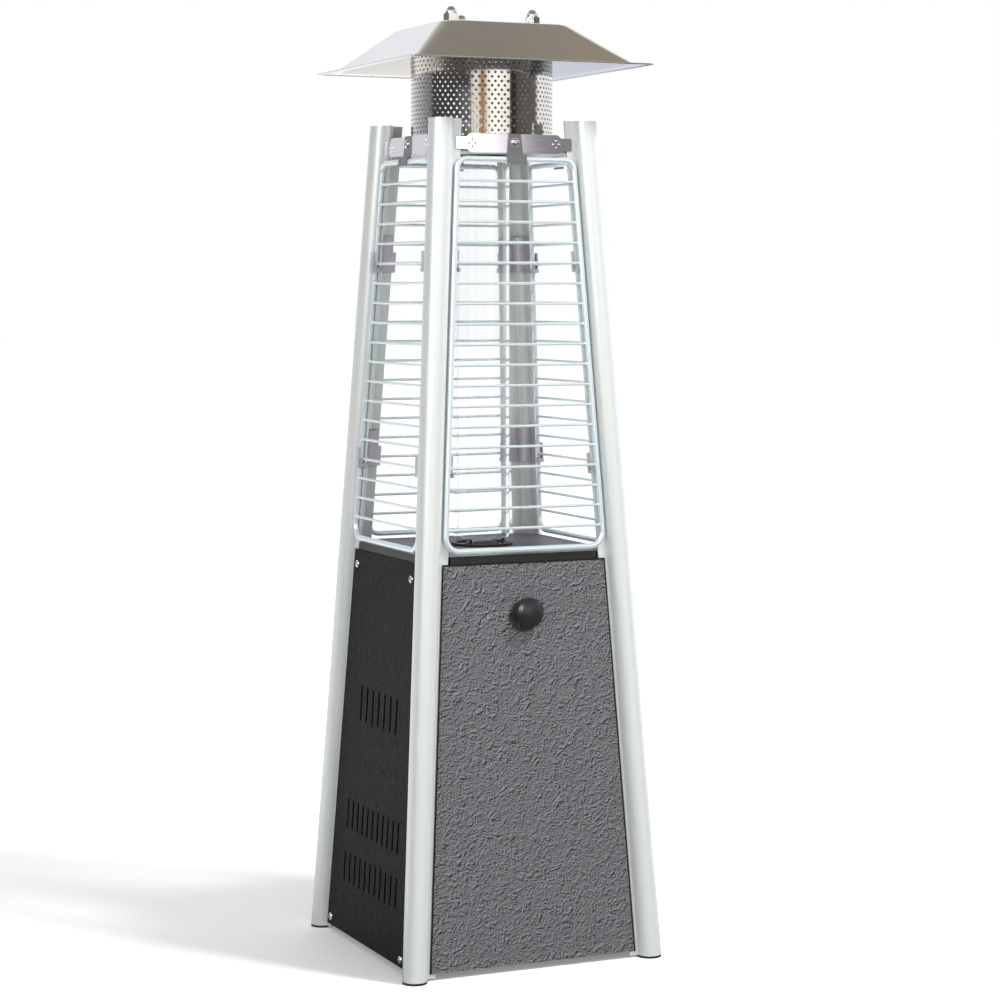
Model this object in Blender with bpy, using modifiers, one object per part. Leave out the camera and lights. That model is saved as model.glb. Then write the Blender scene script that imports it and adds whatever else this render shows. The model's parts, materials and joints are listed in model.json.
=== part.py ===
"""Table-top pyramid patio heater: four leaning legs, a sheet-metal base with the gas train,
a glass flame tube behind four wire guards, and a perforated flame screen under a square hood.

Metres, +Z up. The origin is on the floor at the middle of the four legs, and the front is -Y.
"""

import math

import bmesh
import bpy
from mathutils import Matrix, Vector

# Driving dimensions
CLEAR = 0.0003  # gap between pieces that touch
SHEET = 0.0012  # thickness of the folded sheet pieces

LEG_HEIGHT = 0.886
LEG_AXIS_FLOOR = 0.1355  # from the heater's axis to a leg's axis, along X and along Y
LEG_AXIS_TOP = 0.0816
LEG_RADIUS = 0.0130
LEG_WALL = 0.0016
FLANGE_WIDTH = 0.0100  # how far a leg's two flanges reach past its round
FLANGE_THICK = 0.0020
PLUG_PLATE = 0.0020
PLUG_SPIGOT = 0.0120

PANEL_THICK = 0.0010
PANEL_GAP = 0.0033  # bare flange between a leg's round and a panel's edge
PANEL_BOTTOM = 0.0070
PANEL_DROP = 0.0080  # from the tray's top down to the panels' top edge
SLOT_WIDTH = 0.0040
SLOT_ROWS = (  # slots, pitch, height of the row's middle, slot length
    (7, 0.0169, 0.2625, 0.0400),
    (11, 0.0145, 0.1377, 0.0345),
    (11, 0.0149, 0.0800, 0.0343),
)

PAN_SETBACK = 0.0025  # from a flange's edge to the end of a pan's rim
FLOOR_HEIGHT = 0.0090
FLOOR_RIM = 0.0220
TRAY_HEIGHT = 0.4350
TRAY_RIM = 0.0370

GLASS_RADIUS = 0.0300
GLASS_WALL = 0.0025
GLASS_ABOVE_CROWN = 0.0090
SEAT_WIDTH = 0.0030
SEAT_HEIGHT = 0.0030
COLLAR_WIDTH = 0.0045
COLLAR_LIP = 0.0030

BAND_DROP = 0.0150  # from the legs' top down to the bands' top edge
BAND_HEIGHT = 0.0200
CROWN_RISE = 0.0010  # from the bands' bottom edge up to the crown plate
CROWN_RIM = 0.0140
BAND_REACH = 0.0060  # from the flange's edge back to the band's shoulder
BAND_TAB = 0.0060  # from the flange's edge out to the tab's end

GUARD_ROD = 0.0030
GUARD_WIRE = 0.0015
GUARD_GAP = 0.0050  # from a leg's round in to a guard rail's axis
GUARD_DROP = 0.0066  # from the bands' bottom edge down to a guard's top rail
GUARD_RISE = 0.0050  # from the tray up to a guard's bottom rail
GUARD_TOP_BEND = 0.0110
GUARD_BOTTOM_BEND = 0.0150
WIRE_PITCH = 0.0212
WIRE_MARGIN = 0.0210  # the least from a guard's top or bottom rail to its nearest wire
CLIP_TOP_WIDTH = 0.0135
CLIP_FOOT_WIDTH = 0.0230
CLIP_FOOT_DROP = 0.0100
BRACKET_GAP = 3  # whole spaces between wires that lie beyond a bracket, at each end
BRACKET_HEIGHT = 0.0400
BRACKET_ARM = 0.0045  # the height of the part that reaches out of the leg
BRACKET_HOOK = 0.0220  # the height of the hook or the lip that stands on it
BRACKET_LIP = 0.0024

SCREEN_MARGIN = 0.0081  # from the flanges' plane at the crown in to the screen
SCREEN_WALL = 0.0008
SCREEN_HEIGHT = 0.1175
CAP_LIP = 0.0060

HOOD_HALF = 0.1370
HOOD_DROP = 0.0435  # from the hood's flat top down to its rim
HOOD_RIM_WIDTH = 0.0130
HOOD_RIM_RISE = 0.0015
HOOD_TOP_MARGIN = 0.0187  # from the posts' circle out to the edge of the flat top
HOOD_CORNER = 0.0090
HOOD_THICK = 0.0010
POST_SETBACK = 0.0215  # from the screen in to the posts' circle
POST_ANGLES = (-30.0, 90.0, 210.0)
POST_RADIUS = 0.0050
POST_LENGTH = 0.0134
STUD_RADIUS = 0.0030
STUD_LENGTH = 0.0085
NUT_FLANGE = 0.0096
NUT_FLAT = 0.0068
NUT_HEX = 0.0105
NUT_DOME = 0.0065

KNOB_DROP = 0.0610  # from the tray's top down to the knob's axis
KNOB_RADIUS = 0.0155
KNOB_DEPTH = 0.0130
KNOB_TRAVEL = 0.0040
KNOB_BORE = 0.0095
STEM_RADIUS = 0.0030
STEM_IN_VALVE = 0.0080
BRACKET_SETBACK = 0.0190  # from the front flanges' plane back to the valve's bracket
VALVE_WIDTH = 0.0280
VALVE_DEPTH = 0.0460
VALVE_TALL = 0.0280
REGULATOR_RADIUS = 0.0190
REGULATOR_HEIGHT = 0.0300
REGULATOR_SOCKET = 0.0130
REGULATOR_SOCKET_DEPTH = 0.0170
BURNER_GAP = 0.0030  # between the burner and the probes beside it
BURNER_RISE = 0.0056
BURNER_TUBE = 0.0090
BURNER_TUBE_WALL = 0.0015
BURNER_DROP = 0.0480
PROBE_GAP = 0.0031  # between the probes and the glass
PROBE_RADIUS = 0.0017
PIPE_RADIUS = 0.0030

HINGE_GAP = 0.0045  # from the leg's round in to the hinge's axis
HINGE_PIN = 0.0013
HINGE_SLEEVE = 0.0026
HINGE_SLEEVE_LENGTH = 0.0150
HINGE_LUG = 0.0080
HINGE_SLACK = 0.0004
HINGE_RISE = 0.0630  # from the door's bottom edge up to the lower sleeve
HINGE_DROP = 0.0870  # from the door's top edge down to the upper sleeve's foot
DOOR_NOTCH = 0.0040  # from the hinge's axis to the bottom of a notch in the door
MAGNET_LENGTH = 0.0300
MAGNET_WIDTH = 0.0090

# Places worked out from the driving dimensions
SLOPE = (LEG_AXIS_FLOOR - LEG_AXIS_TOP) / LEG_HEIGHT
LEAN = math.atan(SLOPE)
FLANGE_INSET = LEG_RADIUS + FLANGE_WIDTH
PANEL_INSET = LEG_RADIUS + PANEL_GAP
PANEL_TOP = TRAY_HEIGHT - PANEL_DROP
BAND_BOTTOM = LEG_HEIGHT - BAND_DROP - BAND_HEIGHT
CROWN_HEIGHT = BAND_BOTTOM + CROWN_RISE
GUARD_TOP = BAND_BOTTOM - GUARD_DROP
GUARD_BOTTOM = TRAY_HEIGHT + GUARD_RISE
GUARD_INSET = LEG_RADIUS + GUARD_GAP
ROD_OUT = CLEAR + GUARD_ROD  # a guard rail's axis, out from the flanges' plane
SCREEN_RADIUS = LEG_AXIS_FLOOR - SLOPE * CROWN_HEIGHT - SCREEN_MARGIN
SCREEN_BASE = CROWN_HEIGHT + SHEET + CLEAR
SCREEN_TOP = SCREEN_BASE + SCREEN_HEIGHT
CAP_TOP = SCREEN_TOP + CLEAR + SHEET
HOOD_UNDER = CAP_TOP + POST_LENGTH + 2 * CLEAR
HOOD_TOP_HEIGHT = HOOD_UNDER + HOOD_THICK
HOOD_RIM_HEIGHT = HOOD_TOP_HEIGHT - HOOD_DROP
POST_CIRCLE = SCREEN_RADIUS - POST_SETBACK
HOOD_TOP_HALF = POST_CIRCLE + HOOD_TOP_MARGIN
KNOB_HEIGHT = TRAY_HEIGHT - KNOB_DROP
PROBE_CIRCLE = GLASS_RADIUS - GLASS_WALL - PROBE_GAP - PROBE_RADIUS
BURNER_RADIUS = PROBE_CIRCLE - PROBE_RADIUS - BURNER_GAP
HINGE_INSET = LEG_RADIUS + HINGE_GAP
HINGE_HEIGHTS = (PANEL_BOTTOM + HINGE_RISE, PANEL_TOP - HINGE_DROP)
MAGNET_HEIGHT = (PANEL_BOTTOM + PANEL_TOP) / 2

STEEL = ((0.62, 0.60, 0.57), 1.0, 0.28)
SATIN_SILVER = ((0.80, 0.82, 0.82), 0.9, 0.38)
ZINC = ((0.75, 0.80, 0.82), 1.0, 0.30)
HAMMERED = ((0.13, 0.125, 0.135), 0.7, 0.45)
DARK_SHEET = ((0.07, 0.065, 0.06), 0.5, 0.55)
TRAY_GREY = ((0.11, 0.10, 0.12), 0.6, 0.45)
BRASS = ((0.60, 0.46, 0.20), 1.0, 0.35)
BLACK = ((0.02, 0.02, 0.022), 0.0, 0.40)
CERAMIC = ((0.75, 0.73, 0.68), 0.0, 0.50)


def axis_at(height):
    """Distance from the heater's axis to a leg's axis, at a height above the floor."""
    return LEG_AXIS_FLOOR - SLOPE * height


def up_face(height):
    """How far up a leaning face a height above the floor is."""
    return height / math.cos(LEAN)


def spread(v):
    """Half the distance between two legs' axes, at a distance up the face."""
    return LEG_AXIS_FLOOR - math.sin(LEAN) * v


def face_frame(turns):
    """Frame of a leaning face: X across it, -Y out of it, Z up it. 0 front, 1 right, 2 rear."""
    turn = Matrix.Rotation(math.radians(90) * turns, 4, "Z")
    foot = Matrix.Translation((0, -LEG_AXIS_FLOOR, 0))
    return turn @ foot @ Matrix.Rotation(-LEAN, 4, "X")


def upright(out=0.0):
    """Stands a flat outline up in a face's plane, its middle this far out of the face."""
    return Matrix.Translation((0, -out, 0)) @ Matrix.Rotation(math.radians(90), 4, "X")


def clear_scene():
    for thing in list(bpy.data.objects):
        bpy.data.objects.remove(thing, do_unlink=True)


def new_collection(name):
    collection = bpy.data.collections.new(name)
    bpy.context.scene.collection.children.link(collection)
    return collection


clear_scene()
PARTS = new_collection("patio_heater")
CUTTERS = new_collection("cutters")
CUTTERS.hide_render = True


def realised(thing):
    """The mesh that an object makes with its modifiers. The object itself is removed."""
    bpy.context.view_layer.update()
    graph = bpy.context.evaluated_depsgraph_get()
    mesh = bpy.data.meshes.new_from_object(thing.evaluated_get(graph))
    bpy.data.objects.remove(thing, do_unlink=True)
    joined = bmesh.new()
    joined.from_mesh(mesh)
    bmesh.ops.remove_doubles(joined, verts=joined.verts, dist=1e-6)
    bmesh.ops.recalc_face_normals(joined, faces=joined.faces)
    joined.to_mesh(mesh)
    joined.free()
    return mesh


def helper(name, data):
    thing = bpy.data.objects.new(name, data)
    thing.display_type = "WIRE"
    thing.hide_render = True
    CUTTERS.objects.link(thing)
    return thing


def moved(mesh, matrix):
    mesh.transform(matrix)
    return mesh


def combined(base, added=(), cut=()):
    """The base mesh with the added meshes joined to it and the cut ones taken away."""
    body = helper("body", base)
    tools = []
    for operation, meshes in (("UNION", added), ("DIFFERENCE", cut)):
        for mesh in meshes:
            tool = helper("tool", mesh)
            tools.append(tool)
            modifier = body.modifiers.new(operation, "BOOLEAN")
            modifier.operation = operation
            modifier.object = tool
    mesh = realised(body)
    for tool in tools:
        bpy.data.objects.remove(tool, do_unlink=True)
    return mesh


def flat(outlines, thickness):
    """A flat plate in XY, centred on Z = 0. Outlines after the first are its holes."""
    curve = bpy.data.curves.new("flat", "CURVE")
    curve.dimensions = "2D"
    curve.fill_mode = "BOTH"
    curve.extrude = thickness / 2
    for outline in outlines:
        spline = curve.splines.new("POLY")
        spline.points.add(len(outline) - 1)
        for point, (x, y) in zip(spline.points, outline):
            point.co = (x, y, 0, 1)
        spline.use_cyclic_u = True
    return realised(helper("flat", curve))


def rod(points, radius, sides=8, cyclic=False):
    """A round rod along a line of points."""
    curve = bpy.data.curves.new("rod", "CURVE")
    curve.dimensions = "3D"
    curve.bevel_depth = radius
    curve.bevel_resolution = sides // 2 - 2
    curve.use_fill_caps = not cyclic
    spline = curve.splines.new("POLY")
    spline.points.add(len(points) - 1)
    for point, place in zip(spline.points, points):
        point.co = (*place, 1)
    spline.use_cyclic_u = cyclic
    return realised(helper("rod", curve))


def turned(profile, steps=32, ring=False):
    """A shape turned about Z. Its profile (radius, height) runs down the outer side."""
    mesh = bpy.data.meshes.new("turned")
    edges = [(i, i + 1) for i in range(len(profile) - 1)]
    if ring:
        edges.append((len(profile) - 1, 0))
    mesh.from_pydata([(r, 0, z) for r, z in profile], edges, [])
    body = helper("turned", mesh)
    screw = body.modifiers.new("Screw", "SCREW")
    screw.axis = "Z"
    screw.steps = steps
    screw.render_steps = steps
    screw.use_merge_vertices = True
    screw.merge_threshold = 0.00001
    return realised(body)


def tube(inner, outer, low, high, steps=32):
    profile = [(outer, high), (outer, low), (inner, low), (inner, high)]
    return turned(profile, steps, ring=True)


def drum(radius, low, high, steps=24):
    return turned([(0, high), (radius, high), (radius, low), (0, low)], steps)


def box(low, high, edge=0.0):
    """A box between two corners, its edges rounded."""
    body = bmesh.new()
    bmesh.ops.create_cube(body, size=1)
    size = Vector(high) - Vector(low)
    middle = (Vector(high) + Vector(low)) / 2
    bmesh.ops.transform(
        body,
        matrix=Matrix.Translation(middle) @ Matrix.Diagonal((*size, 1)),
        verts=body.verts,
    )
    if edge:
        bmesh.ops.bevel(body, geom=body.edges, offset=edge, segments=2, affect="EDGES")
    mesh = bpy.data.meshes.new("box")
    body.to_mesh(mesh)
    body.free()
    return mesh


def arc(centre, radius, start, end, steps):
    """Points along an arc, with angles in degrees."""
    angles = [math.radians(start + (end - start) * i / steps) for i in range(steps + 1)]
    return [(centre[0] + radius * math.cos(a), centre[1] + radius * math.sin(a)) for a in angles]


def circle(centre, radius, steps=16):
    return arc(centre, radius, 0, 360 - 360 / steps, steps - 1)


def filleted(corners, radii, steps=4):
    """A closed outline with each corner replaced by a tangent arc."""
    points = []
    count = len(corners)
    for i, (corner, radius) in enumerate(zip(corners, radii)):
        here = Vector(corner)
        back = (Vector(corners[i - 1]) - here).normalized()
        ahead = (Vector(corners[(i + 1) % count]) - here).normalized()
        half = back.angle(ahead) / 2
        middle = here + (back + ahead).normalized() * radius / math.sin(half)
        first = here + back * radius / math.tan(half) - middle
        sweep = math.pi - 2 * half
        turn = 1 if back.x * ahead.y - back.y * ahead.x < 0 else -1
        for j in range(steps + 1):
            a = turn * sweep * j / steps
            x = first.x * math.cos(a) - first.y * math.sin(a)
            y = first.x * math.sin(a) + first.y * math.cos(a)
            points.append((middle.x + x, middle.y + y))
    return points


def smooth_path(points, steps=6):
    """Points along a smooth curve through the given ones."""
    line = [Vector(p) for p in points]
    line = [2 * line[0] - line[1]] + line + [2 * line[-1] - line[-2]]
    path = []
    for a, b, c, d in zip(line, line[1:], line[2:], line[3:]):
        for i in range(steps):
            t = i / steps
            path.append(
                0.5
                * (
                    2 * b
                    + (c - a) * t
                    + (2 * a - 5 * b + 4 * c - d) * t * t
                    + (3 * b - a - 3 * c + d) * t**3
                )
            )
    return path + [line[-2]]


def material(name, look):
    colour, metallic, roughness = look
    made = bpy.data.materials.new(name)
    made.use_nodes = True
    shader = made.node_tree.nodes["Principled BSDF"]
    shader.inputs["Base Color"].default_value = (*colour, 1)
    shader.inputs["Metallic"].default_value = metallic
    shader.inputs["Roughness"].default_value = roughness
    return made


def add(name, mesh, look, frame=None, parent=None):
    """Adds one piece: its mesh in the frame it was drawn in, and its look."""
    if not mesh.materials:
        mesh.materials.append(material(name, look))
    mesh.shade_smooth()
    mesh.set_sharp_from_angle(angle=math.radians(35))
    thing = bpy.data.objects.new(name, mesh)
    PARTS.objects.link(thing)
    thing.matrix_world = frame or Matrix.Identity(4)
    if parent:
        thing.parent = parent
        thing.matrix_parent_inverse = parent.matrix_world.inverted()
    return thing


def pivot(name, frame):
    """An empty on a joint's axis, which is its Z."""
    empty = bpy.data.objects.new(name, None)
    PARTS.objects.link(empty)
    empty.matrix_world = frame
    bpy.context.view_layer.update()
    return empty


FACES = ("front", "right", "rear", "left")
CORNERS = ("front_left", "front_right", "rear_right", "rear_left")


def leg_slant():
    """Leans a piece drawn about the origin along the front left leg."""
    slant = Matrix.Identity(4)
    slant[0][2] = SLOPE
    slant[1][2] = SLOPE
    return slant


def corner_frame(turns, height=0.0):
    """Frame on a leg's axis, its +X and +Y along the two flanges."""
    turn = Matrix.Rotation(math.radians(90) * turns, 4, "Z")
    place = -axis_at(height)
    return turn @ Matrix.Translation((place, place, height))


def build_legs():
    edge = math.degrees(math.asin(FLANGE_THICK / LEG_RADIUS))
    outline = (
        [(FLANGE_INSET, 0), (FLANGE_INSET, FLANGE_THICK)]
        + arc((0, 0), LEG_RADIUS, edge, 90 - edge, 5)
        + [(FLANGE_THICK, FLANGE_INSET), (0, FLANGE_INSET)]
        + arc((0, 0), LEG_RADIUS, 90, 360, 18)
    )
    bore = LEG_RADIUS - LEG_WALL
    low = PLUG_PLATE + CLEAR
    section = flat([outline, circle((0, 0), bore, 24)], LEG_HEIGHT - low)
    section.transform(Matrix.Translation((0, 0, (LEG_HEIGHT + low) / 2)))
    section.transform(leg_slant())
    spigot = bore - CLEAR
    plug = turned(
        [
            (0, PLUG_PLATE + PLUG_SPIGOT),
            (spigot, PLUG_PLATE + PLUG_SPIGOT),
            (spigot, PLUG_PLATE),
            (LEG_RADIUS, PLUG_PLATE),
            (LEG_RADIUS, 0),
            (0, 0),
        ],
        24,
    )
    plug.transform(leg_slant())
    for turns, corner in enumerate(CORNERS):
        add(f"leg_{corner}", section, SATIN_SILVER, corner_frame(turns))
        add(f"foot_plug_{corner}", plug, BLACK, corner_frame(turns))


def panel_outline():
    low, high = up_face(PANEL_BOTTOM), up_face(PANEL_TOP)
    wide, narrow = spread(low) - PANEL_INSET, spread(high) - PANEL_INSET
    return [(-wide, low), (wide, low), (narrow, high), (-narrow, high)]


def panel(holes=()):
    sheet = flat([panel_outline(), *holes], PANEL_THICK)
    return moved(sheet, upright(CLEAR + PANEL_THICK / 2))


def vent_slots():
    slots = []
    half = SLOT_WIDTH / 2
    for count, pitch, height, length in SLOT_ROWS:
        middle, reach = up_face(height), length / 2 - half
        for i in range(count):
            u = (i - (count - 1) / 2) * pitch
            over = arc((u, middle + reach), half, 0, 180, 2)
            under = arc((u, middle - reach), half, 180, 360, 2)
            slots.append(over + under)
    return slots


def build_panels():
    stem_hole = circle((0, up_face(KNOB_HEIGHT)), STEM_RADIUS + 5 * CLEAR)
    add("front_panel", panel([stem_hole]), HAMMERED, face_frame(0))
    vented = panel(vent_slots())
    add("side_panel_left", vented, DARK_SHEET, face_frame(3))
    add("side_panel_right", vented, DARK_SHEET, face_frame(1))


def pan(height, rim, holes=()):
    """A clipped square plate whose top is at a height, with a rim folded up or down."""
    face_at = axis_at(height - SHEET / 2)
    edge = face_at - SHEET / 2
    end = face_at - FLANGE_INSET - PAN_SETBACK
    eighth = [(end, edge), (edge, end)]
    outline = []
    for turns in range(4):
        turn = Matrix.Rotation(-math.radians(90) * turns, 2)
        outline += [tuple(turn @ Vector(p)) for p in eighth]
    plate = moved(flat([outline, *holes], SHEET), Matrix.Translation((0, 0, height - SHEET / 2)))
    near = up_face(height - SHEET * 0.75)
    far = near + rim
    setback = FLANGE_INSET + PAN_SETBACK
    corners = [(-1, near), (1, near), (1, far), (-1, far)]
    rims = []
    for turns in range(4):
        side = [(sign * (spread(v) - setback), v) for sign, v in corners]
        if rim < 0:
            side.reverse()
        rims.append(moved(flat([side], SHEET), face_frame(turns) @ upright(-SHEET / 2)))
    return combined(plate, added=rims)


def build_pans():
    add("base_floor", pan(FLOOR_HEIGHT, FLOOR_RIM), DARK_SHEET)
    probes = [
        circle(place, PROBE_RADIUS + 2 * CLEAR, 12) for place in (probe_place(1), probe_place(-1))
    ]
    burner_hole = circle((0, 0), BURNER_TUBE + CLEAR, 24)
    add("burner_tray", pan(TRAY_HEIGHT, -TRAY_RIM, [burner_hole, *probes]), TRAY_GREY)
    glass_hole = circle((0, 0), GLASS_RADIUS + COLLAR_WIDTH + 2 * CLEAR, 32)
    add("crown_plate", pan(CROWN_HEIGHT + SHEET, CROWN_RIM, [glass_hole]), STEEL)


def probe_place(side):
    angle = math.radians(-90 + side * 55)
    return (PROBE_CIRCLE * math.cos(angle), PROBE_CIRCLE * math.sin(angle))


def build_glass():
    foot = TRAY_HEIGHT + CLEAR
    top = CROWN_HEIGHT + SHEET + GLASS_ABOVE_CROWN
    glass = ((0.95, 0.97, 0.97), 0.0, 0.03)
    add("glass_tube", tube(GLASS_RADIUS - GLASS_WALL, GLASS_RADIUS, foot, top, 32), glass)
    inner = GLASS_RADIUS + CLEAR
    seat = tube(inner, inner + SEAT_WIDTH, foot, foot + SEAT_HEIGHT, 32)
    add("glass_seat", seat, TRAY_GREY)
    outer = GLASS_RADIUS + COLLAR_WIDTH
    over = CROWN_HEIGHT + SHEET + CLEAR
    collar = turned(
        [
            (outer + COLLAR_LIP, over + SHEET),
            (outer + COLLAR_LIP, over),
            (outer, over),
            (outer, CROWN_HEIGHT - COLLAR_LIP),
            (inner, CROWN_HEIGHT - COLLAR_LIP),
            (inner, over + SHEET),
        ],
        32,
        ring=True,
    )
    add("glass_collar", collar, BLACK)


def build_bands():
    low = up_face(BAND_BOTTOM)
    high = low + BAND_HEIGHT
    flange_edge = spread((low + high) / 2) - FLANGE_INSET
    shoulder = flange_edge - BAND_REACH
    tab = flange_edge + BAND_TAB
    bevel, step = BAND_HEIGHT * 0.2, BAND_HEIGHT * 0.17
    right = [
        (shoulder - bevel, low),
        (shoulder, low + step),
        (tab, low + step),
        (tab, high - step),
        (shoulder, high - step),
        (shoulder - bevel, high),
    ]
    outline = right + [(-u, v) for u, v in reversed(right)]
    band = moved(flat([outline], SHEET), upright(CLEAR + SHEET / 2))
    clip = guard_clip(low, high)
    for turns, face in enumerate(FACES):
        add(f"top_band_{face}", band, STEEL, face_frame(turns))
        add(f"guard_clip_{face}", clip, STEEL, face_frame(turns))


def guard_clip(low, high):
    """Sheet clip on the middle of a band, stepped out to hook over a guard's top rail."""
    back = 2 * CLEAR + SHEET
    front = ROD_OUT + GUARD_ROD + CLEAR
    rail = up_face(GUARD_TOP)
    shelf = rail + GUARD_ROD + CLEAR + SHEET
    top, foot = CLIP_TOP_WIDTH / 2, CLIP_FOOT_WIDTH / 2
    upper = [(-foot * 0.8, shelf - SHEET), (foot * 0.8, shelf - SHEET), (top, high), (-top, high)]
    drop = rail - CLIP_FOOT_DROP / 2
    lower = [(-foot, drop), (foot, drop), (foot * 0.9, shelf), (-foot * 0.9, shelf)]
    plate = moved(flat([upper], SHEET), upright(back + SHEET / 2))
    hook = moved(flat([lower], SHEET), upright(front + SHEET / 2))
    step = box((-foot * 0.9, -front - SHEET / 2, shelf - SHEET), (foot * 0.9, -back, shelf))
    return combined(plate, added=[hook, step])


def wire_heights():
    """Heights up the face of a guard's wires, lowest first."""
    low, high = up_face(GUARD_BOTTOM), up_face(GUARD_TOP)
    spaces = math.floor((high - low - 2 * WIRE_MARGIN) / WIRE_PITCH + 0.1)
    first = (low + high - spaces * WIRE_PITCH) / 2
    return [first + i * WIRE_PITCH for i in range(spaces + 1)]


def build_guards():
    low, high = up_face(GUARD_BOTTOM), up_face(GUARD_TOP)
    wide, narrow = spread(low) - GUARD_INSET, spread(high) - GUARD_INSET
    corners = [(-wide, low), (wide, low), (narrow, high), (-narrow, high)]
    bends = [GUARD_BOTTOM_BEND] * 2 + [GUARD_TOP_BEND] * 2
    frame = [(u, -ROD_OUT, v) for u, v in filleted(corners, bends)]
    body = rod(frame, GUARD_ROD, 8, cyclic=True)
    wires = bmesh.new()
    for v in wire_heights():
        reach = spread(v) - GUARD_INSET
        wire = rod([(-reach, -ROD_OUT, v), (reach, -ROD_OUT, v)], GUARD_WIRE, 6)
        wires.from_mesh(wire)
    wire_set = bpy.data.meshes.new("wires")
    wires.to_mesh(wire_set)
    wires.free()
    guard = combined(body, added=[wire_set])
    for turns, face in enumerate(FACES):
        add(f"wire_guard_{face}", guard, ZINC, face_frame(turns))


def strip(points, low, high):
    """Upright sheet folded along an open line of points in XY, SHEET thick."""
    half = SHEET / 2
    line = [Vector(p) for p in points]
    left, right = [], []
    for i, here in enumerate(line):
        back = (here - line[i - 1]).normalized() if i else None
        ahead = (line[i + 1] - here).normalized() if i + 1 < len(line) else None
        along = ((back or ahead) + (ahead or back)).normalized()
        side = Vector((-along.y, along.x))
        reach = half / side.dot(Vector((-(back or ahead).y, (back or ahead).x)))
        left.append(tuple(here + side * reach))
        right.append(tuple(here - side * reach))
    sheet = flat([right + left[::-1]], high - low)
    return moved(sheet, Matrix.Translation((0, 0, (low + high) / 2)))


def build_guard_brackets():
    """Angle brackets inside the legs: a hook outside the side guard's rail, a lip behind the other's."""
    half = SHEET / 2
    corner = LEG_RADIUS + CLEAR + half
    foot = FLANGE_THICK + CLEAR + half
    arm = FLANGE_INSET + CLEAR + half
    hook = -(ROD_OUT + GUARD_ROD + CLEAR + half)
    heel = FLANGE_INSET - half
    low = -BRACKET_HEIGHT / 2
    tall = strip(
        [(heel, foot), (corner, foot), (corner, corner), (foot, corner), (foot, heel)],
        low,
        -low,
    )
    reach = GUARD_INSET - GUARD_ROD
    inset = heel - 2 * SHEET
    brackets = []
    for hooked in (True, False):
        pieces = []
        for outside in (hooked, not hooked):
            if outside:
                arms = [(inset, foot), (arm, foot), (arm, hook), (reach, hook)]
                tongue = [(arm - half, hook), (reach, hook)]
            else:
                arms = [(inset, foot), (arm, foot), (arm, -ROD_OUT - GUARD_ROD)]
                tongue = [(inset, foot), (arm + BRACKET_LIP, foot)]
            if outside != hooked:
                arms = [(y, x) for x, y in arms]
                tongue = [(y, x) for x, y in tongue]
            pieces.append(strip(arms, low, low + BRACKET_ARM))
            pieces.append(strip(tongue, low, low + BRACKET_HOOK))
        bracket = combined(tall, added=pieces)
        bracket.transform(leg_slant())
        brackets.append(bracket)
    wires = wire_heights()
    for level, gap in (("upper", -2 - BRACKET_GAP), ("lower", BRACKET_GAP)):
        v = (wires[gap] + wires[gap + 1]) / 2
        height = v * math.cos(LEAN) + ROD_OUT * math.sin(LEAN)
        for turns, place in enumerate(CORNERS):
            name = f"guard_bracket_{level}_{place}"
            add(name, brackets[(turns + 1) % 2], STEEL, corner_frame(turns, height))


def post_places():
    angles = [math.radians(a) for a in POST_ANGLES]
    return [(POST_CIRCLE * math.cos(a), POST_CIRCLE * math.sin(a)) for a in angles]


def hood_mesh():
    """Square hood: a flat top, four slopes with rounded hips and a narrow level rim."""
    inner = HOOD_HALF - HOOD_RIM_WIDTH
    rings = (
        (HOOD_TOP_HALF, HOOD_CORNER, HOOD_TOP_HEIGHT),
        (inner, HOOD_CORNER * 0.7, HOOD_RIM_HEIGHT + HOOD_RIM_RISE),
        (HOOD_HALF, HOOD_CORNER * 0.4, HOOD_RIM_HEIGHT),
    )
    shell = bmesh.new()
    previous = None
    for half, radius, height in rings:
        square = [(-half, -half), (half, -half), (half, half), (-half, half)]
        outline = filleted(square, [radius] * 4, 4)
        loop = [shell.verts.new((x, y, height)) for x, y in outline]
        if previous is None:
            shell.faces.new(loop)
        else:
            for i in range(len(loop)):
                j = (i + 1) % len(loop)
                shell.faces.new((previous[j], previous[i], loop[i], loop[j]))
        previous = loop
    bmesh.ops.recalc_face_normals(shell, faces=shell.faces)
    mesh = bpy.data.meshes.new("hood")
    shell.to_mesh(mesh)
    shell.free()
    body = helper("hood", mesh)
    solid = body.modifiers.new("Solidify", "SOLIDIFY")
    solid.thickness = HOOD_THICK
    solid.offset = -1
    solid.use_even_offset = True
    return realised(body)


def post_holes(low, high):
    radius = STUD_RADIUS + CLEAR
    return [
        moved(drum(radius, low, high, 12), Matrix.Translation((x, y, 0)))
        for x, y in post_places()
    ]


def build_top():
    screen = tube(SCREEN_RADIUS - SCREEN_WALL, SCREEN_RADIUS, SCREEN_BASE, SCREEN_TOP, 48)
    add("flame_screen", screen, STEEL)
    lip = SCREEN_RADIUS - SCREEN_WALL - CLEAR
    under = SCREEN_TOP + CLEAR
    cap = turned(
        [
            (0, CAP_TOP),
            (SCREEN_RADIUS, CAP_TOP),
            (SCREEN_RADIUS, under),
            (lip, under),
            (lip, under - CAP_LIP),
            (lip - SHEET, under - CAP_LIP),
            (lip - SHEET, under),
            (0, under),
        ],
        48,
    )
    add("screen_cap", combined(cap, cut=post_holes(under - CAP_LIP, CAP_TOP + SHEET)), STEEL)
    holes = post_holes(HOOD_UNDER - SHEET, HOOD_TOP_HEIGHT + SHEET)
    add("reflector_hood", combined(hood_mesh(), cut=holes), STEEL)
    post, nut = hood_post(), cap_nut()
    for number, (x, y) in enumerate(post_places(), 1):
        add(f"hood_post_{number}", post, ZINC, Matrix.Translation((x, y, 0)))
        add(f"cap_nut_{number}", nut, ZINC, Matrix.Translation((x, y, HOOD_TOP_HEIGHT + CLEAR)))


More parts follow.
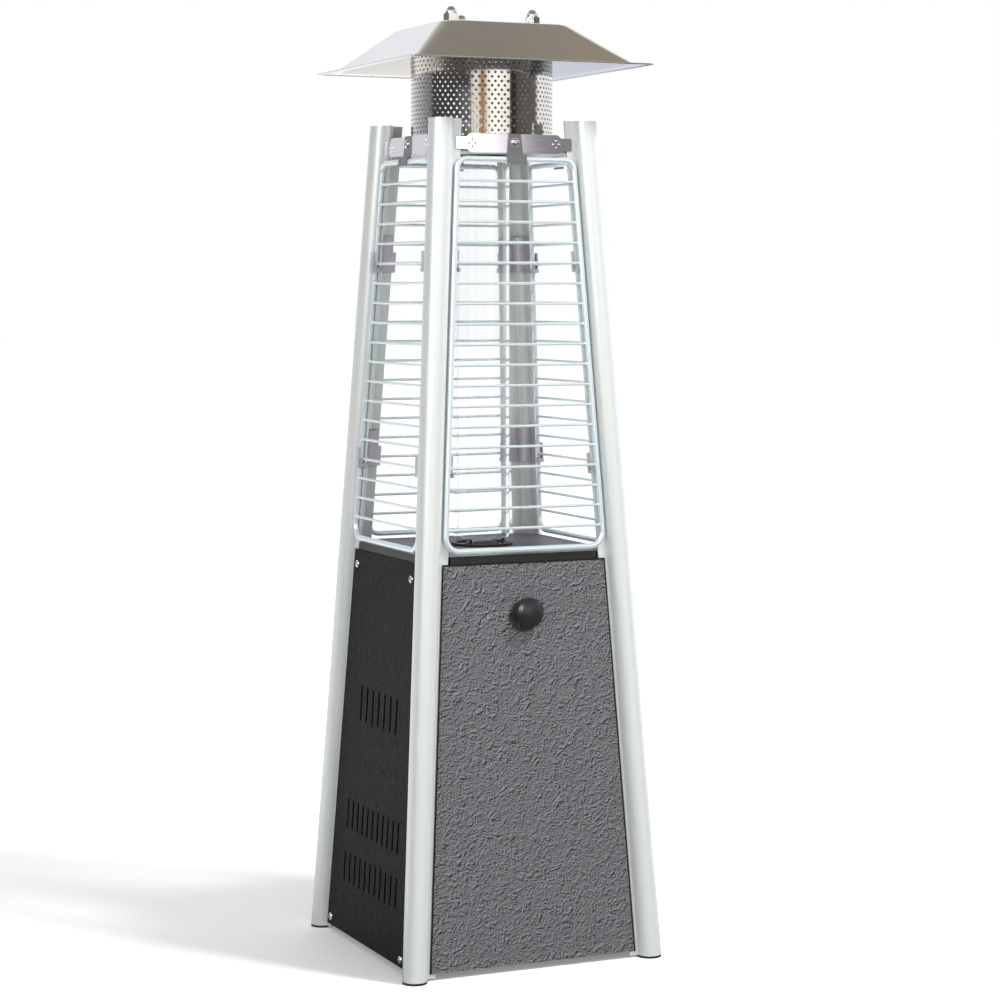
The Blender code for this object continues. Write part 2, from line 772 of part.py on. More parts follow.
def hood_post():
    """Shouldered post that holds the hood above the screen's cap, threaded at both ends."""
    high, low = HOOD_UNDER - CLEAR, CAP_TOP + CLEAR
    over = HOOD_TOP_HEIGHT + STUD_LENGTH
    return turned(
        [
            (0, over),
            (STUD_RADIUS, over),
            (STUD_RADIUS, high),
            (POST_RADIUS, high),
            (POST_RADIUS, low),
            (STUD_RADIUS, low),
            (STUD_RADIUS, low - STUD_LENGTH),
            (0, low - STUD_LENGTH),
        ],
        16,
    )


def cap_nut():
    """Flanged dome nut, open underneath for its stud."""
    flange = SHEET
    hex_top = flange + NUT_HEX
    bore = STUD_RADIUS + CLEAR
    bore_end = STUD_LENGTH + CLEAR
    dome = [
        (NUT_FLAT * 0.95 * math.cos(a), hex_top + NUT_DOME * math.sin(a))
        for a in (math.radians(90 - 15 * i) for i in range(7))
    ]
    dome[0] = (0, hex_top + NUT_DOME)
    rounds = turned(
        dome
        + [
            (NUT_FLAT * 0.95, flange),
            (NUT_FLANGE, flange * 0.6),
            (NUT_FLANGE, 0),
            (bore, 0),
            (bore, bore_end),
            (0, bore_end),
        ],
        16,
    )
    hexagon = circle((0, 0), NUT_FLAT / math.cos(math.radians(30)), 6)
    bore_hole = circle((0, 0), bore + CLEAR, 16)
    hexed = moved(flat([hexagon, bore_hole], NUT_HEX), Matrix.Translation((0, 0, hex_top - NUT_HEX / 2)))
    return combined(rounds, added=[hexed])


def knob_frame():
    """Frame on the knob's axis at the front flanges' plane, its Z out of the face."""
    place = Matrix.Translation((0, 0, up_face(KNOB_HEIGHT)))
    return face_frame(0) @ place @ Matrix.Rotation(math.radians(90), 4, "X")


def build_gas_train():
    frame = knob_frame()
    axis = pivot("knob_axis", frame)
    panel_face = CLEAR + PANEL_THICK
    knob_back = panel_face + KNOB_TRAVEL + CLEAR
    knob_front = knob_back + KNOB_DEPTH
    bore = STEM_RADIUS + CLEAR
    radius = KNOB_RADIUS
    crown = [
        (radius * 0.97 * math.sin(math.radians(15 * i)),
         knob_front - KNOB_DEPTH * 0.62 * (1 - math.cos(math.radians(15 * i))))
        for i in range(1, 6)
    ]
    knob = turned(
        [(0, knob_front)]
        + crown
        + [
            (radius, knob_back + KNOB_DEPTH * 0.25),
            (radius, knob_back + KNOB_DEPTH * 0.08),
            (radius * 0.94, knob_back),
            (bore, knob_back),
            (bore, knob_back + KNOB_BORE),
            (0, knob_back + KNOB_BORE),
        ],
        32,
    )
    add("control_knob", knob, BLACK, frame, axis)
    stem_end = knob_back + KNOB_BORE - KNOB_TRAVEL - CLEAR
    valve_front = -BRACKET_SETBACK - SHEET - CLEAR
    stem = drum(STEM_RADIUS, valve_front - STEM_IN_VALVE, stem_end, 16)
    add("valve_stem", stem, BRASS, frame, axis)

    face = face_frame(0)
    knob_up = up_face(KNOB_HEIGHT)
    top = up_face(TRAY_HEIGHT - SHEET) - CLEAR - BRACKET_SETBACK * math.tan(LEAN)
    half = VALVE_WIDTH
    low = knob_up - VALVE_TALL * 0.7
    stem_hole = circle((0, knob_up), STEM_RADIUS + 2 * CLEAR)
    outline = [(-half, low), (half, low), (half, top), (-half, top)]
    hanger = moved(flat([outline, stem_hole], SHEET), upright(-BRACKET_SETBACK - SHEET / 2))
    fold = box((-half, BRACKET_SETBACK, top - SHEET), (half, BRACKET_SETBACK + half / 2, top))
    add("valve_bracket", combined(hanger, added=[fold]), DARK_SHEET, face)

    back = valve_front - VALVE_DEPTH
    valve = box(
        (-VALVE_WIDTH / 2, -VALVE_TALL / 2, back),
        (VALVE_WIDTH / 2, VALVE_TALL / 2, valve_front),
        0.002,
    )
    stem_bore = drum(bore, valve_front - STEM_IN_VALVE - CLEAR, valve_front + SHEET, 16)
    add("gas_valve", combined(valve, cut=[stem_bore]), BRASS, frame)

    regulator_y, regulator_top = regulator_place()
    regulator_low = regulator_top - REGULATOR_HEIGHT
    socket = REGULATOR_SOCKET
    regulator = turned(
        [
            (0, regulator_top),
            (REGULATOR_RADIUS * 0.6, regulator_top),
            (REGULATOR_RADIUS, regulator_top - REGULATOR_HEIGHT * 0.3),
            (REGULATOR_RADIUS, regulator_low),
            (socket, regulator_low),
            (socket, regulator_low + REGULATOR_SOCKET_DEPTH),
            (0, regulator_low + REGULATOR_SOCKET_DEPTH),
        ],
        24,
    )
    add("regulator", regulator, BRASS, Matrix.Translation((0, regulator_y, 0)))

    switch_low = (VALVE_WIDTH / 2 + 0.002, -VALVE_TALL / 2, valve_front - 0.016)
    switch_high = (VALVE_WIDTH, VALVE_TALL / 2, valve_front)
    add("tip_over_switch", box(switch_low, switch_high, 0.001), BLACK, frame)
    build_burner(back)


def regulator_place():
    """Y and top height of the regulator, which hangs under the valve's back end."""
    depth = BRACKET_SETBACK + SHEET + CLEAR + VALVE_DEPTH - REGULATOR_RADIUS * 0.6
    y = -axis_at(KNOB_HEIGHT) + depth
    under = KNOB_HEIGHT - VALVE_TALL / 2 / math.cos(LEAN) - depth * math.sin(LEAN)
    return y, under - 3 * CLEAR


def build_burner(valve_back):
    low = TRAY_HEIGHT - BURNER_DROP
    under, over = TRAY_HEIGHT + CLEAR, TRAY_HEIGHT + CLEAR + BURNER_RISE
    bore = BURNER_TUBE - BURNER_TUBE_WALL
    burner = turned(
        [
            (0, over),
            (BURNER_RADIUS * 0.55, over),
            (BURNER_RADIUS * 0.9, over - BURNER_RISE * 0.35),
            (BURNER_RADIUS, over - BURNER_RISE * 0.6),
            (BURNER_RADIUS, under),
            (BURNER_TUBE, under),
            (BURNER_TUBE, low),
            (bore, low),
            (bore, under),
            (bore, over - BURNER_RISE * 0.5),
            (0, over - BURNER_RISE * 0.5),
        ],
        24,
    )
    add("burner", burner, STEEL)
    start = knob_frame() @ Vector((0, 0, valve_back - CLEAR))
    ahead = knob_frame() @ Vector((0, 0, valve_back - CLEAR - 3 * PIPE_RADIUS))
    injector = Vector((0, 0, low + BURNER_TUBE_WALL * 3))
    below = injector - Vector((0, 0, 5 * PIPE_RADIUS))
    route = [start, ahead, (ahead + below) / 2 - Vector((0, 0, PIPE_RADIUS)), below, injector]
    add("gas_pipe", rod(smooth_path(route, 5), PIPE_RADIUS), BRASS)
    tips = (("igniter_electrode", 1, CERAMIC), ("thermocouple", -1, BRASS))
    for name, side, look in tips:
        x, y = probe_place(side)
        probe = drum(PROBE_RADIUS, TRAY_HEIGHT - BURNER_DROP / 2, over + BURNER_RISE / 3, 12)
        add(name, probe, look, Matrix.Translation((x, y, 0)))


def edge_frame(side, inset, out=0.0):
    """Frame in a face, its Z along a line this far in from the leg on that side."""
    start = Matrix.Translation((side * (LEG_AXIS_FLOOR - inset), -out, 0))
    return start @ Matrix.Rotation(-side * math.atan(math.sin(LEAN)), 4, "Y")


def build_rear_door():
    """Door on two lift-off hinges beside a rear leg. It lies on the flanges when shut."""
    local = edge_frame(1, HINGE_INSET, CLEAR + PANEL_THICK + HINGE_SLEEVE * 0.85)
    face = face_frame(2)
    axis = pivot("rear_door_axis", face @ local)
    door = panel()
    sleeves, cuts = [], []
    bore = HINGE_PIN + HINGE_SLACK
    inner = HINGE_SLEEVE * 0.85
    for v in HINGE_HEIGHTS:
        end = v + HINGE_SLEEVE_LENGTH
        notch = box(
            (-DOOR_NOTCH, -HINGE_SLEEVE - CLEAR, v - HINGE_LUG - 4 * CLEAR),
            (HINGE_INSET, inner + 2 * PANEL_THICK, v),
        )
        sleeves.append(moved(drum(HINGE_SLEEVE, v - CLEAR, end, 16), local))
        cuts.append(moved(notch, local))
        cuts.append(moved(drum(bore, v - HINGE_LUG / 2, end + CLEAR, 16), local))
    add("rear_door", combined(door, added=sleeves, cut=cuts), DARK_SHEET, face, axis)
    leg_side = HINGE_INSET - LEG_RADIUS - 2 * CLEAR
    for level, v in zip(("lower", "upper"), HINGE_HEIGHTS):
        lug = box(
            (-HINGE_SLEEVE, -HINGE_SLEEVE, v - HINGE_LUG),
            (leg_side, inner + PANEL_THICK, v - CLEAR),
        )
        pin = drum(HINGE_PIN, v - HINGE_LUG / 2, v + HINGE_SLEEVE_LENGTH - CLEAR, 16)
        add(f"hinge_bracket_{level}", combined(lug, added=[pin]), ZINC, face @ local)
    v = up_face(MAGNET_HEIGHT)
    magnet = box(
        (0, 0, v - MAGNET_LENGTH / 2),
        (MAGNET_WIDTH, MAGNET_WIDTH, v + MAGNET_LENGTH / 2),
        0.001,
    )
    add("door_magnet", magnet, BLACK, face @ edge_frame(-1, FLANGE_INSET + CLEAR))


build_legs()
build_panels()
build_pans()
build_glass()
build_bands()
build_guards()
build_guard_brackets()
build_top()
build_gas_train()
build_rear_door()
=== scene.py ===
"""Looks of the table-top pyramid patio heater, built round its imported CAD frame.

Metres, +Z up, the front is -Y. Every piece stands in the frame's own coordinates.
"""

import json
import math

import bmesh
import bpy
from mathutils import Matrix, Vector, noise

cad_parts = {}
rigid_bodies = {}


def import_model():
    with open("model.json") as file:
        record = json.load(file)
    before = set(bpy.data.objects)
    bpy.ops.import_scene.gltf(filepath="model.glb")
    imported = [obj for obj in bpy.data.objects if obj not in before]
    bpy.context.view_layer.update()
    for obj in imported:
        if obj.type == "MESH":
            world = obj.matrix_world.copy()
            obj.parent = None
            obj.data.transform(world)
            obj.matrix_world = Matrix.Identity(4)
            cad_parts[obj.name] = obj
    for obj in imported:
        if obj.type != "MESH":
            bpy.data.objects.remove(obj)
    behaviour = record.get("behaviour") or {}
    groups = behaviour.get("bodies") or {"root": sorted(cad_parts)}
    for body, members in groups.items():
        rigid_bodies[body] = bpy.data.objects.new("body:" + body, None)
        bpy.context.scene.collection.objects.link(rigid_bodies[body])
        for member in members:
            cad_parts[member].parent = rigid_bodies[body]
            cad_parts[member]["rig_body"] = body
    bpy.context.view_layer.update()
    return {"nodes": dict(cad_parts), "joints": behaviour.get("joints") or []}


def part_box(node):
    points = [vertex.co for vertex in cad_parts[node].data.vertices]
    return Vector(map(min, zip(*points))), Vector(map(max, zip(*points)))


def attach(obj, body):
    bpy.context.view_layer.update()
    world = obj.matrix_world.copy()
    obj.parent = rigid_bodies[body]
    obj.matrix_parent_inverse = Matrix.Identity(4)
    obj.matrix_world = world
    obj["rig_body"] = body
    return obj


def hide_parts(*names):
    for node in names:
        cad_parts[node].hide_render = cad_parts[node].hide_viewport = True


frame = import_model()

# Sizes that the CAD part is drawn with
CLEAR = 0.0003
SHEET = 0.0012
LEG_RADIUS = 0.0130
LEG_WALL = 0.0016
FLANGE_WIDTH = 0.0100
FLANGE_THICK = 0.0020
PANEL_THICK = 0.0010
PANEL_GAP = 0.0033
STEM_HOLE = 0.0045
GUARD_ROD = 0.0030
GUARD_WIRE = 0.0015
GUARD_GAP = 0.0050
GUARD_BENDS = (0.0150, 0.0150, 0.0110, 0.0110)  # lower left, lower right, upper right, upper left
WIRE_PITCH = 0.0212
WIRE_MARGIN = 0.0210
SCREEN_WALL = 0.0008
GLASS_WALL = 0.0025
HOOD_RIM_WIDTH = 0.0130
HOOD_THICK = 0.0010
KNOB_BORE = 0.0095
KNOB_DEPTH = 0.0130
STEM_RADIUS = 0.0030

# Sizes of what only the looks have
HOLE_RADIUS = 0.00145
HOLES_AROUND = 70
HOLE_ROW_PITCH = 0.0046
RELIEF_STEP = 0.00110  # spacing of the hammered sheet's points
RELIEF_DEPTH = 0.00085
FOLD_SIDE = 0.0010  # how far down a fold its shaded side is read
SCREW_RADIUS = 0.0043
SCREW_HEIGHT = 0.0034
# Across from the middle, rearward and forward, and above the floor
PANEL_SCREWS = ((0.0810, 0.4110), (-0.0735, 0.4095), (0.1060, 0.0165), (-0.0990, 0.0155))
CLIP_SCREW_DROP = 0.0240  # from the legs' top
CLIP_SCREW_RADIUS = 0.0042
CLIP_SCREW_HEIGHT = 0.0022
WASHER_THICK = 0.0006
DIMPLE_RADIUS = 0.0014
DIMPLE_RAISE = 0.0007
DIMPLE_SPREAD = 0.0036
DIMPLE_FROM_END = 0.0120
WELD_BEAD = (0.0021, 0.0022, 0.0021)  # half sizes of the bead where a wire meets the rod
HOOD_BEND = 0.010
HOOD_FOLD_RISE = 0.0015  # from the rim to the foot of the hood's slope
HEM_RADIUS = 0.0009
NUT_FROM_FOLD = 0.0187  # from a nut's axis out to the hood's upper fold
NUT_TURN = 17  # degrees from one nut's flats to the next's
FLOOR_RADIUS = 30
FLOOR_DROP = 0.0002

FACES = ("front", "right", "rear", "left")
CORNERS = ("front_left", "front_right", "rear_right", "rear_left")
LEVELS = ("upper", "lower")

# Places read from the frame
joints = {joint["name"]: joint for joint in frame["joints"]}
push = Vector(joints["knob_push"]["axis"])
knob_place = Vector(joints["knob_turn"]["pos_m"])
LEAN = math.asin(-push.z)
FACE_FOOT = -knob_place.y + knob_place.z * math.tan(LEAN)  # a face's plane at the floor
LEG_LOW, LEG_HIGH = (corner.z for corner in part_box("leg_front_left"))
PANEL_LOW, PANEL_HIGH = (corner.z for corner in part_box("front_panel"))
ROD_OUT = CLEAR + GUARD_ROD
nut_low, nut_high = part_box("cap_nut_2")
HOOD_TOP_HALF = nut_high.y - (nut_high.x - nut_low.x) / 2 + NUT_FROM_FOLD


def up_face(height):
    """How far up a leaning face a height above the floor is."""
    return height / math.cos(LEAN)


def spread(v):
    """Half the distance between two legs' axes, at a distance up the face."""
    return FACE_FOOT - math.sin(LEAN) * v


def face_frame(turns):
    """Frame of a leaning face: X across it, -Y out of it, Z up it. 0 front, 1 right, 2 rear."""
    turn = Matrix.Rotation(math.radians(90) * turns, 4, "Z")
    foot = Matrix.Translation((0, -FACE_FOOT, 0))
    return turn @ foot @ Matrix.Rotation(-LEAN, 4, "X")


def out_of_face(u, v, out):
    """Frame with its Z out of a face, at a place on it."""
    return Matrix.Translation((u, -out, v)) @ Matrix.Rotation(math.radians(90), 4, "X")


# Mesh tools


def mesh_of(body, name="piece"):
    mesh = bpy.data.meshes.new(name)
    bmesh.ops.recalc_face_normals(body, faces=body.faces)
    body.to_mesh(mesh)
    body.free()
    return mesh


def realised(thing):
    """The mesh that an object makes with its modifiers. The object itself is removed."""
    bpy.context.scene.collection.objects.link(thing)
    bpy.context.view_layer.update()
    graph = bpy.context.evaluated_depsgraph_get()
    mesh = bpy.data.meshes.new_from_object(thing.evaluated_get(graph))
    bpy.data.objects.remove(thing, do_unlink=True)
    return mesh


def joined(meshes):
    body = bmesh.new()
    for mesh in meshes:
        body.from_mesh(mesh)
    return mesh_of(body)


def moved(mesh, matrix):
    copy = mesh.copy()
    copy.transform(matrix)
    return copy


def turned(profile, steps=64, ring=False):
    """A shape turned about Z. Its (radius, height) profile runs down the outer side."""
    body = bmesh.new()
    angles = [2 * math.pi * i / steps for i in range(steps)]
    rings = []
    for radius, height in profile:
        if radius == 0:
            rings.append([body.verts.new((0, 0, height))])
        else:
            places = [(radius * math.cos(a), radius * math.sin(a), height) for a in angles]
            rings.append([body.verts.new(place) for place in places])
    pairs = list(zip(rings, rings[1:])) + ([(rings[-1], rings[0])] if ring else [])
    for upper, lower in pairs:
        for i in range(steps):
            corners = []
            for vert in (upper[i % len(upper)], lower[i % len(lower)],
                         lower[(i + 1) % len(lower)], upper[(i + 1) % len(upper)]):
                if vert not in corners:
                    corners.append(vert)
            if len(corners) > 2:
                body.faces.new(corners)
    return mesh_of(body)


def arc(centre, radius, start, end, steps):
    """Points along an arc, with angles in degrees."""
    angles = [math.radians(start + (end - start) * i / steps) for i in range(steps + 1)]
    return [(centre[0] + radius * math.cos(a), centre[1] + radius * math.sin(a)) for a in angles]


def filleted(corners, radii, steps=8):
    """A closed outline with each corner replaced by a tangent arc."""
    points = []
    for i, (corner, radius) in enumerate(zip(corners, radii)):
        here = Vector(corner)
        back = (Vector(corners[i - 1]) - here).normalized()
        ahead = (Vector(corners[(i + 1) % len(corners)]) - here).normalized()
        half = back.angle(ahead) / 2
        middle = here + (back + ahead).normalized() * radius / math.sin(half)
        first = here + back * radius / math.tan(half) - middle
        turn = 1 if back.x * ahead.y - back.y * ahead.x < 0 else -1
        for j in range(steps + 1):
            swing = Matrix.Rotation(turn * (math.pi - 2 * half) * j / steps, 2)
            points.append(tuple(middle + swing @ first))
    return points


def rod(points, radius, sides=16, cyclic=False):
    """A round rod along a line of points."""
    curve = bpy.data.curves.new("rod", "CURVE")
    curve.dimensions = "3D"
    curve.bevel_depth = radius
    curve.bevel_resolution = sides // 2 - 2
    curve.use_fill_caps = not cyclic
    spline = curve.splines.new("POLY")
    spline.points.add(len(points) - 1)
    for point, place in zip(spline.points, points):
        point.co = (*place, 1)
    spline.use_cyclic_u = cyclic
    return realised(bpy.data.objects.new("rod", curve))


def plate(outlines, thickness, edge=0.0):
    """A flat plate in XY, centred on Z = 0, its edges rounded. Outlines after the first are holes."""
    curve = bpy.data.curves.new("plate", "CURVE")
    curve.dimensions = "2D"
    curve.fill_mode = "BOTH"
    curve.extrude = thickness / 2 - edge
    curve.bevel_depth = edge
    curve.bevel_resolution = 1
    curve.offset = -edge
    for outline in outlines:
        spline = curve.splines.new("POLY")
        spline.points.add(len(outline) - 1)
        for point, (x, y) in zip(spline.points, outline):
            point.co = (x, y, 0, 1)
        spline.use_cyclic_u = True
    body = bmesh.new()
    body.from_mesh(realised(bpy.data.objects.new("plate", curve)))
    bmesh.ops.remove_doubles(body, verts=body.verts, dist=1e-6)
    return mesh_of(body)


def combined(base, tool, operation="DIFFERENCE"):
    body = bpy.data.objects.new("body", base)
    other = bpy.data.objects.new("tool", tool)
    bpy.context.scene.collection.objects.link(other)
    modifier = body.modifiers.new("cut", "BOOLEAN")
    modifier.operation = operation
    modifier.object = other
    mesh = realised(body)
    bpy.data.objects.remove(other, do_unlink=True)
    return mesh


def softened(node, edge=0.0003, segments=2):
    """A CAD node's shape with its flat faces merged and its sharp edges rounded off."""
    body = bmesh.new()
    body.from_mesh(frame["nodes"][node].data)
    bmesh.ops.remove_doubles(body, verts=body.verts, dist=1e-5)
    bmesh.ops.dissolve_limit(body, angle_limit=math.radians(0.5), verts=body.verts, edges=body.edges)
    sharp = [e for e in body.edges if e.is_manifold and e.calc_face_angle(0) > math.radians(32)]
    bmesh.ops.bevel(
        body, geom=sharp, offset=edge, segments=segments, affect="EDGES", clamp_overlap=True
    )
    return mesh_of(body)


def add(name, mesh, look, like, place=None, replace=True, sharp=40):
    """Adds a piece that moves as a CAD node does, and stands for it if replace is set."""
    mesh.materials.clear()
    mesh.materials.append(look)
    mesh.shade_smooth()
    mesh.set_sharp_from_angle(angle=math.radians(sharp))
    thing = bpy.data.objects.new(name, mesh)
    bpy.context.scene.collection.objects.link(thing)
    thing.matrix_world = place or Matrix.Identity(4)
    even = thing.modifiers.new("even", "WEIGHTED_NORMAL")
    even.keep_sharp = True
    even.weight = 100
    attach(thing, frame["nodes"][like]["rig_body"])
    if replace:
        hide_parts(like)
    return thing


def soften(node, look, edge=0.0003, sharp=40):
    return add(node + "_finished", softened(node, edge), look, node, sharp=sharp)


# Materials


def nodes_for(name):
    made = bpy.data.materials.new(name)
    made.use_nodes = True
    return made, made.node_tree, made.node_tree.nodes["Principled BSDF"]


def node(tree, kind, **values):
    made = tree.nodes.new("ShaderNode" + kind)
    for key, value in values.items():
        if key in made.inputs:
            made.inputs[key].default_value = value
        else:
            setattr(made, key, value)
    return made


def noise_at(tree, scale, stretch=(1, 1, 1), detail=4.0, rough=0.55):
    """Noise over the piece's own coordinates, in units per metre, stretched along each axis."""
    place = node(tree, "TexCoord")
    fit = node(tree, "Mapping")
    fit.inputs["Scale"].default_value = stretch
    grain = node(tree, "TexNoise", Scale=scale, Detail=detail, Roughness=rough)
    tree.links.new(place.outputs["Object"], fit.inputs["Vector"])
    tree.links.new(fit.outputs["Vector"], grain.inputs["Vector"])
    return grain.outputs["Fac"]


def ranged(tree, source, low, high, start=0.3, stop=0.7):
    """Maps a noise's usual span, start to stop, onto low to high."""
    span = node(tree, "MapRange")
    for key, value in (("From Min", start), ("From Max", stop), ("To Min", low), ("To Max", high)):
        span.inputs[key].default_value = value
    tree.links.new(source, span.inputs["Value"])
    return span.outputs["Result"]


def mixed(tree, factor, first, second):
    """A colour between two, each a tuple or a socket."""
    mix = node(tree, "Mix", data_type="RGBA")
    tree.links.new(factor, mix.inputs["Factor"])
    for socket, value in ((mix.inputs[6], first), (mix.inputs[7], second)):
        if isinstance(value, tuple):
            socket.default_value = (*value, 1)
        else:
            tree.links.new(value, socket)
    return mix.outputs[2]


def ramp(tree, source, stops):
    made = node(tree, "ValToRGB")
    points = made.color_ramp.elements
    while len(points) < len(stops):
        points.new(0.5)
    for point, (position, colour) in zip(points, stops):
        point.position = position
        point.color = (*colour, 1)
    tree.links.new(source, made.inputs[0])
    return made.outputs[0]


def bumped(tree, shader, height, distance, strength=1.0):
    bump = node(tree, "Bump", Strength=strength, Distance=distance)
    tree.links.new(height, bump.inputs["Height"])
    tree.links.new(bump.outputs["Normal"], shader.inputs["Normal"])


def surface(name, colour, metallic, roughness, grain=900.0, stretch=(1, 1, 1), tint=0.08,
            spread=0.06, relief=0.00001, patches=14.0, coat=0.0, coat_rough=0.2):
    """A finish with a fine grain over broad patches, in its colour, its gloss and its relief."""
    made, tree, shader = nodes_for(name)
    shader.inputs["Metallic"].default_value = metallic
    shader.inputs["Coat Weight"].default_value = coat
    shader.inputs["Coat Roughness"].default_value = coat_rough
    fine = noise_at(tree, grain, stretch)
    broad = noise_at(tree, patches, detail=3.0)
    dark = tuple(c * (1 - tint) for c in colour)
    light = tuple(min(1.0, c * (1 + tint)) for c in colour)
    fine_tone = mixed(tree, ranged(tree, fine, 0, 1), dark, light)
    wear_and_valley_shade = tuple(c * (1 - tint * 0.8) for c in colour)
    tone = mixed(tree, ranged(tree, broad, 0, 0.5), fine_tone, wear_and_valley_shade)
    tree.links.new(tone, shader.inputs["Base Color"])
    blend = node(tree, "Math", operation="ADD")
    tree.links.new(fine, blend.inputs[0])
    tree.links.new(broad, blend.inputs[1])
    rough = ranged(tree, blend.outputs[0], roughness - spread, roughness + spread, 0.7, 1.3)
    tree.links.new(rough, shader.inputs["Roughness"])
    bumped(tree, shader, fine, relief)
    return made


def brushed(name, colour, roughness, across="x", grain=2600.0, tint=0.06,
            spread=0.07, relief=0.000004):
    """Steel brushed in lines. Across says how they run: down each slope of the hood, or level."""
    made, tree, shader = nodes_for(name)
    shader.inputs["Metallic"].default_value = 1.0
    thin = 0.015
    if across == "slopes":
        normal = node(tree, "NewGeometry")
        parts = node(tree, "SeparateXYZ")
        tree.links.new(normal.outputs["Normal"], parts.inputs[0])
        sizes = []
        for axis in ("X", "Y"):
            size = node(tree, "Math", operation="ABSOLUTE")
            tree.links.new(parts.outputs[axis], size.inputs[0])
            sizes.append(size)
        sideways = node(tree, "Math", operation="GREATER_THAN")
        tree.links.new(sizes[0].outputs[0], sideways.inputs[0])
        tree.links.new(sizes[1].outputs[0], sideways.inputs[1])
        lines = node(tree, "Mix", data_type="FLOAT")
        tree.links.new(sideways.outputs[0], lines.inputs["Factor"])
        tree.links.new(noise_at(tree, grain, (1, thin, thin)), lines.inputs[2])
        tree.links.new(noise_at(tree, grain, (thin, 1, thin)), lines.inputs[3])
        fine = lines.outputs[0]
    else:
        stretch = {"x": (thin, 1, 1), "z": (1, 1, thin)}[across]
        fine = noise_at(tree, grain, stretch)
    broad = noise_at(tree, 16.0, detail=3.0)
    dark = tuple(c * (1 - tint) for c in colour)
    light = tuple(min(1.0, c * (1 + tint)) for c in colour)
    streaks = mixed(tree, ranged(tree, fine, 0, 1), dark, light)
    warm = (colour[0] * 0.99, colour[1] * 0.965, colour[2] * 0.93)
    tone = mixed(tree, ranged(tree, broad, 0, 0.6), streaks, warm)
    tree.links.new(tone, shader.inputs["Base Color"])
    rough = ranged(tree, fine, roughness - spread, roughness + spread)
    tree.links.new(rough, shader.inputs["Roughness"])
    bumped(tree, shader, fine, relief)
    return made


def steel_with_painted_sheen_and_shade(name, colour, roughness):
    """Steel brushed down each slope of the hood.

    On the +X side a warm painted reflection lightens the faces that look up, and painted shade darkens
    the faces that look down.
    """
    made = brushed(name, colour, roughness, "slopes", tint=0.015, spread=0.02, relief=0.0000003)
    tree = made.node_tree
    shader = tree.nodes["Principled BSDF"]
    steel = shader.inputs["Base Color"].links[0].from_socket
    place = node(tree, "TexCoord")
    parts = node(tree, "SeparateXYZ")
    tree.links.new(place.outputs["Object"], parts.inputs[0])
    # Painted reflection above and painted shade below, on the +X side only.
    side = ranged(tree, parts.outputs["X"], 0, 1, -0.03, 0.10)
    painted_sheen = (colour[0] * 1.20, colour[1] * 1.12, colour[2] * 0.99)
    painted_underside_shade = (colour[0] * 0.46, colour[1] * 0.50, colour[2] * 0.60)
    normal = node(tree, "NewGeometry")
    facing = node(tree, "SeparateXYZ")
    tree.links.new(normal.outputs["Normal"], facing.inputs[0])
    outside = ranged(tree, facing.outputs["Z"], 0, 1, -0.1, 0.2)
    sheen_above_shade_below = mixed(tree, outside, painted_underside_shade, painted_sheen)
    tree.links.new(mixed(tree, side, steel, sheen_above_shade_below), shader.inputs["Base Color"])
    return made


def crumple(tree, rise):
    """Height of fine folds over the sheet, read a little way up it: creases of two sizes."""
    place = node(tree, "TexCoord")
    fit = node(tree, "Mapping")
    fit.inputs["Scale"].default_value = (0.9, 1, 1)
    fit.inputs["Location"].default_value = (-rise * 0.6, 0, rise)
    tree.links.new(place.outputs["Object"], fit.inputs["Vector"])
    layers = []
    for scale, detail, weight in ((118.0, 5.0, 5.5), (300.0, 4.0, 4.5)):
        grain = node(tree, "TexNoise", Scale=scale, Detail=detail, Roughness=0.65, Distortion=1.1)
        tree.links.new(fit.outputs["Vector"], grain.inputs["Vector"])
        middle = node(tree, "Math", operation="SUBTRACT")
        middle.inputs[1].default_value = 0.5
        tree.links.new(grain.outputs["Fac"], middle.inputs[0])
        fold = node(tree, "Math", operation="ABSOLUTE")
        tree.links.new(middle.outputs[0], fold.inputs[0])
        layer = node(tree, "Math", operation="MULTIPLY")
        layer.inputs[1].default_value = weight
        layer.use_clamp = True
        tree.links.new(fold.outputs[0], layer.inputs[0])
        layers.append(layer)
    height = node(tree, "Math", operation="MULTIPLY_ADD")
    height.inputs[1].default_value = 0.75
    tree.links.new(layers[1].outputs[0], height.inputs[0])
    tree.links.new(layers[0].outputs[0], height.inputs[2])
    return height.outputs[0]


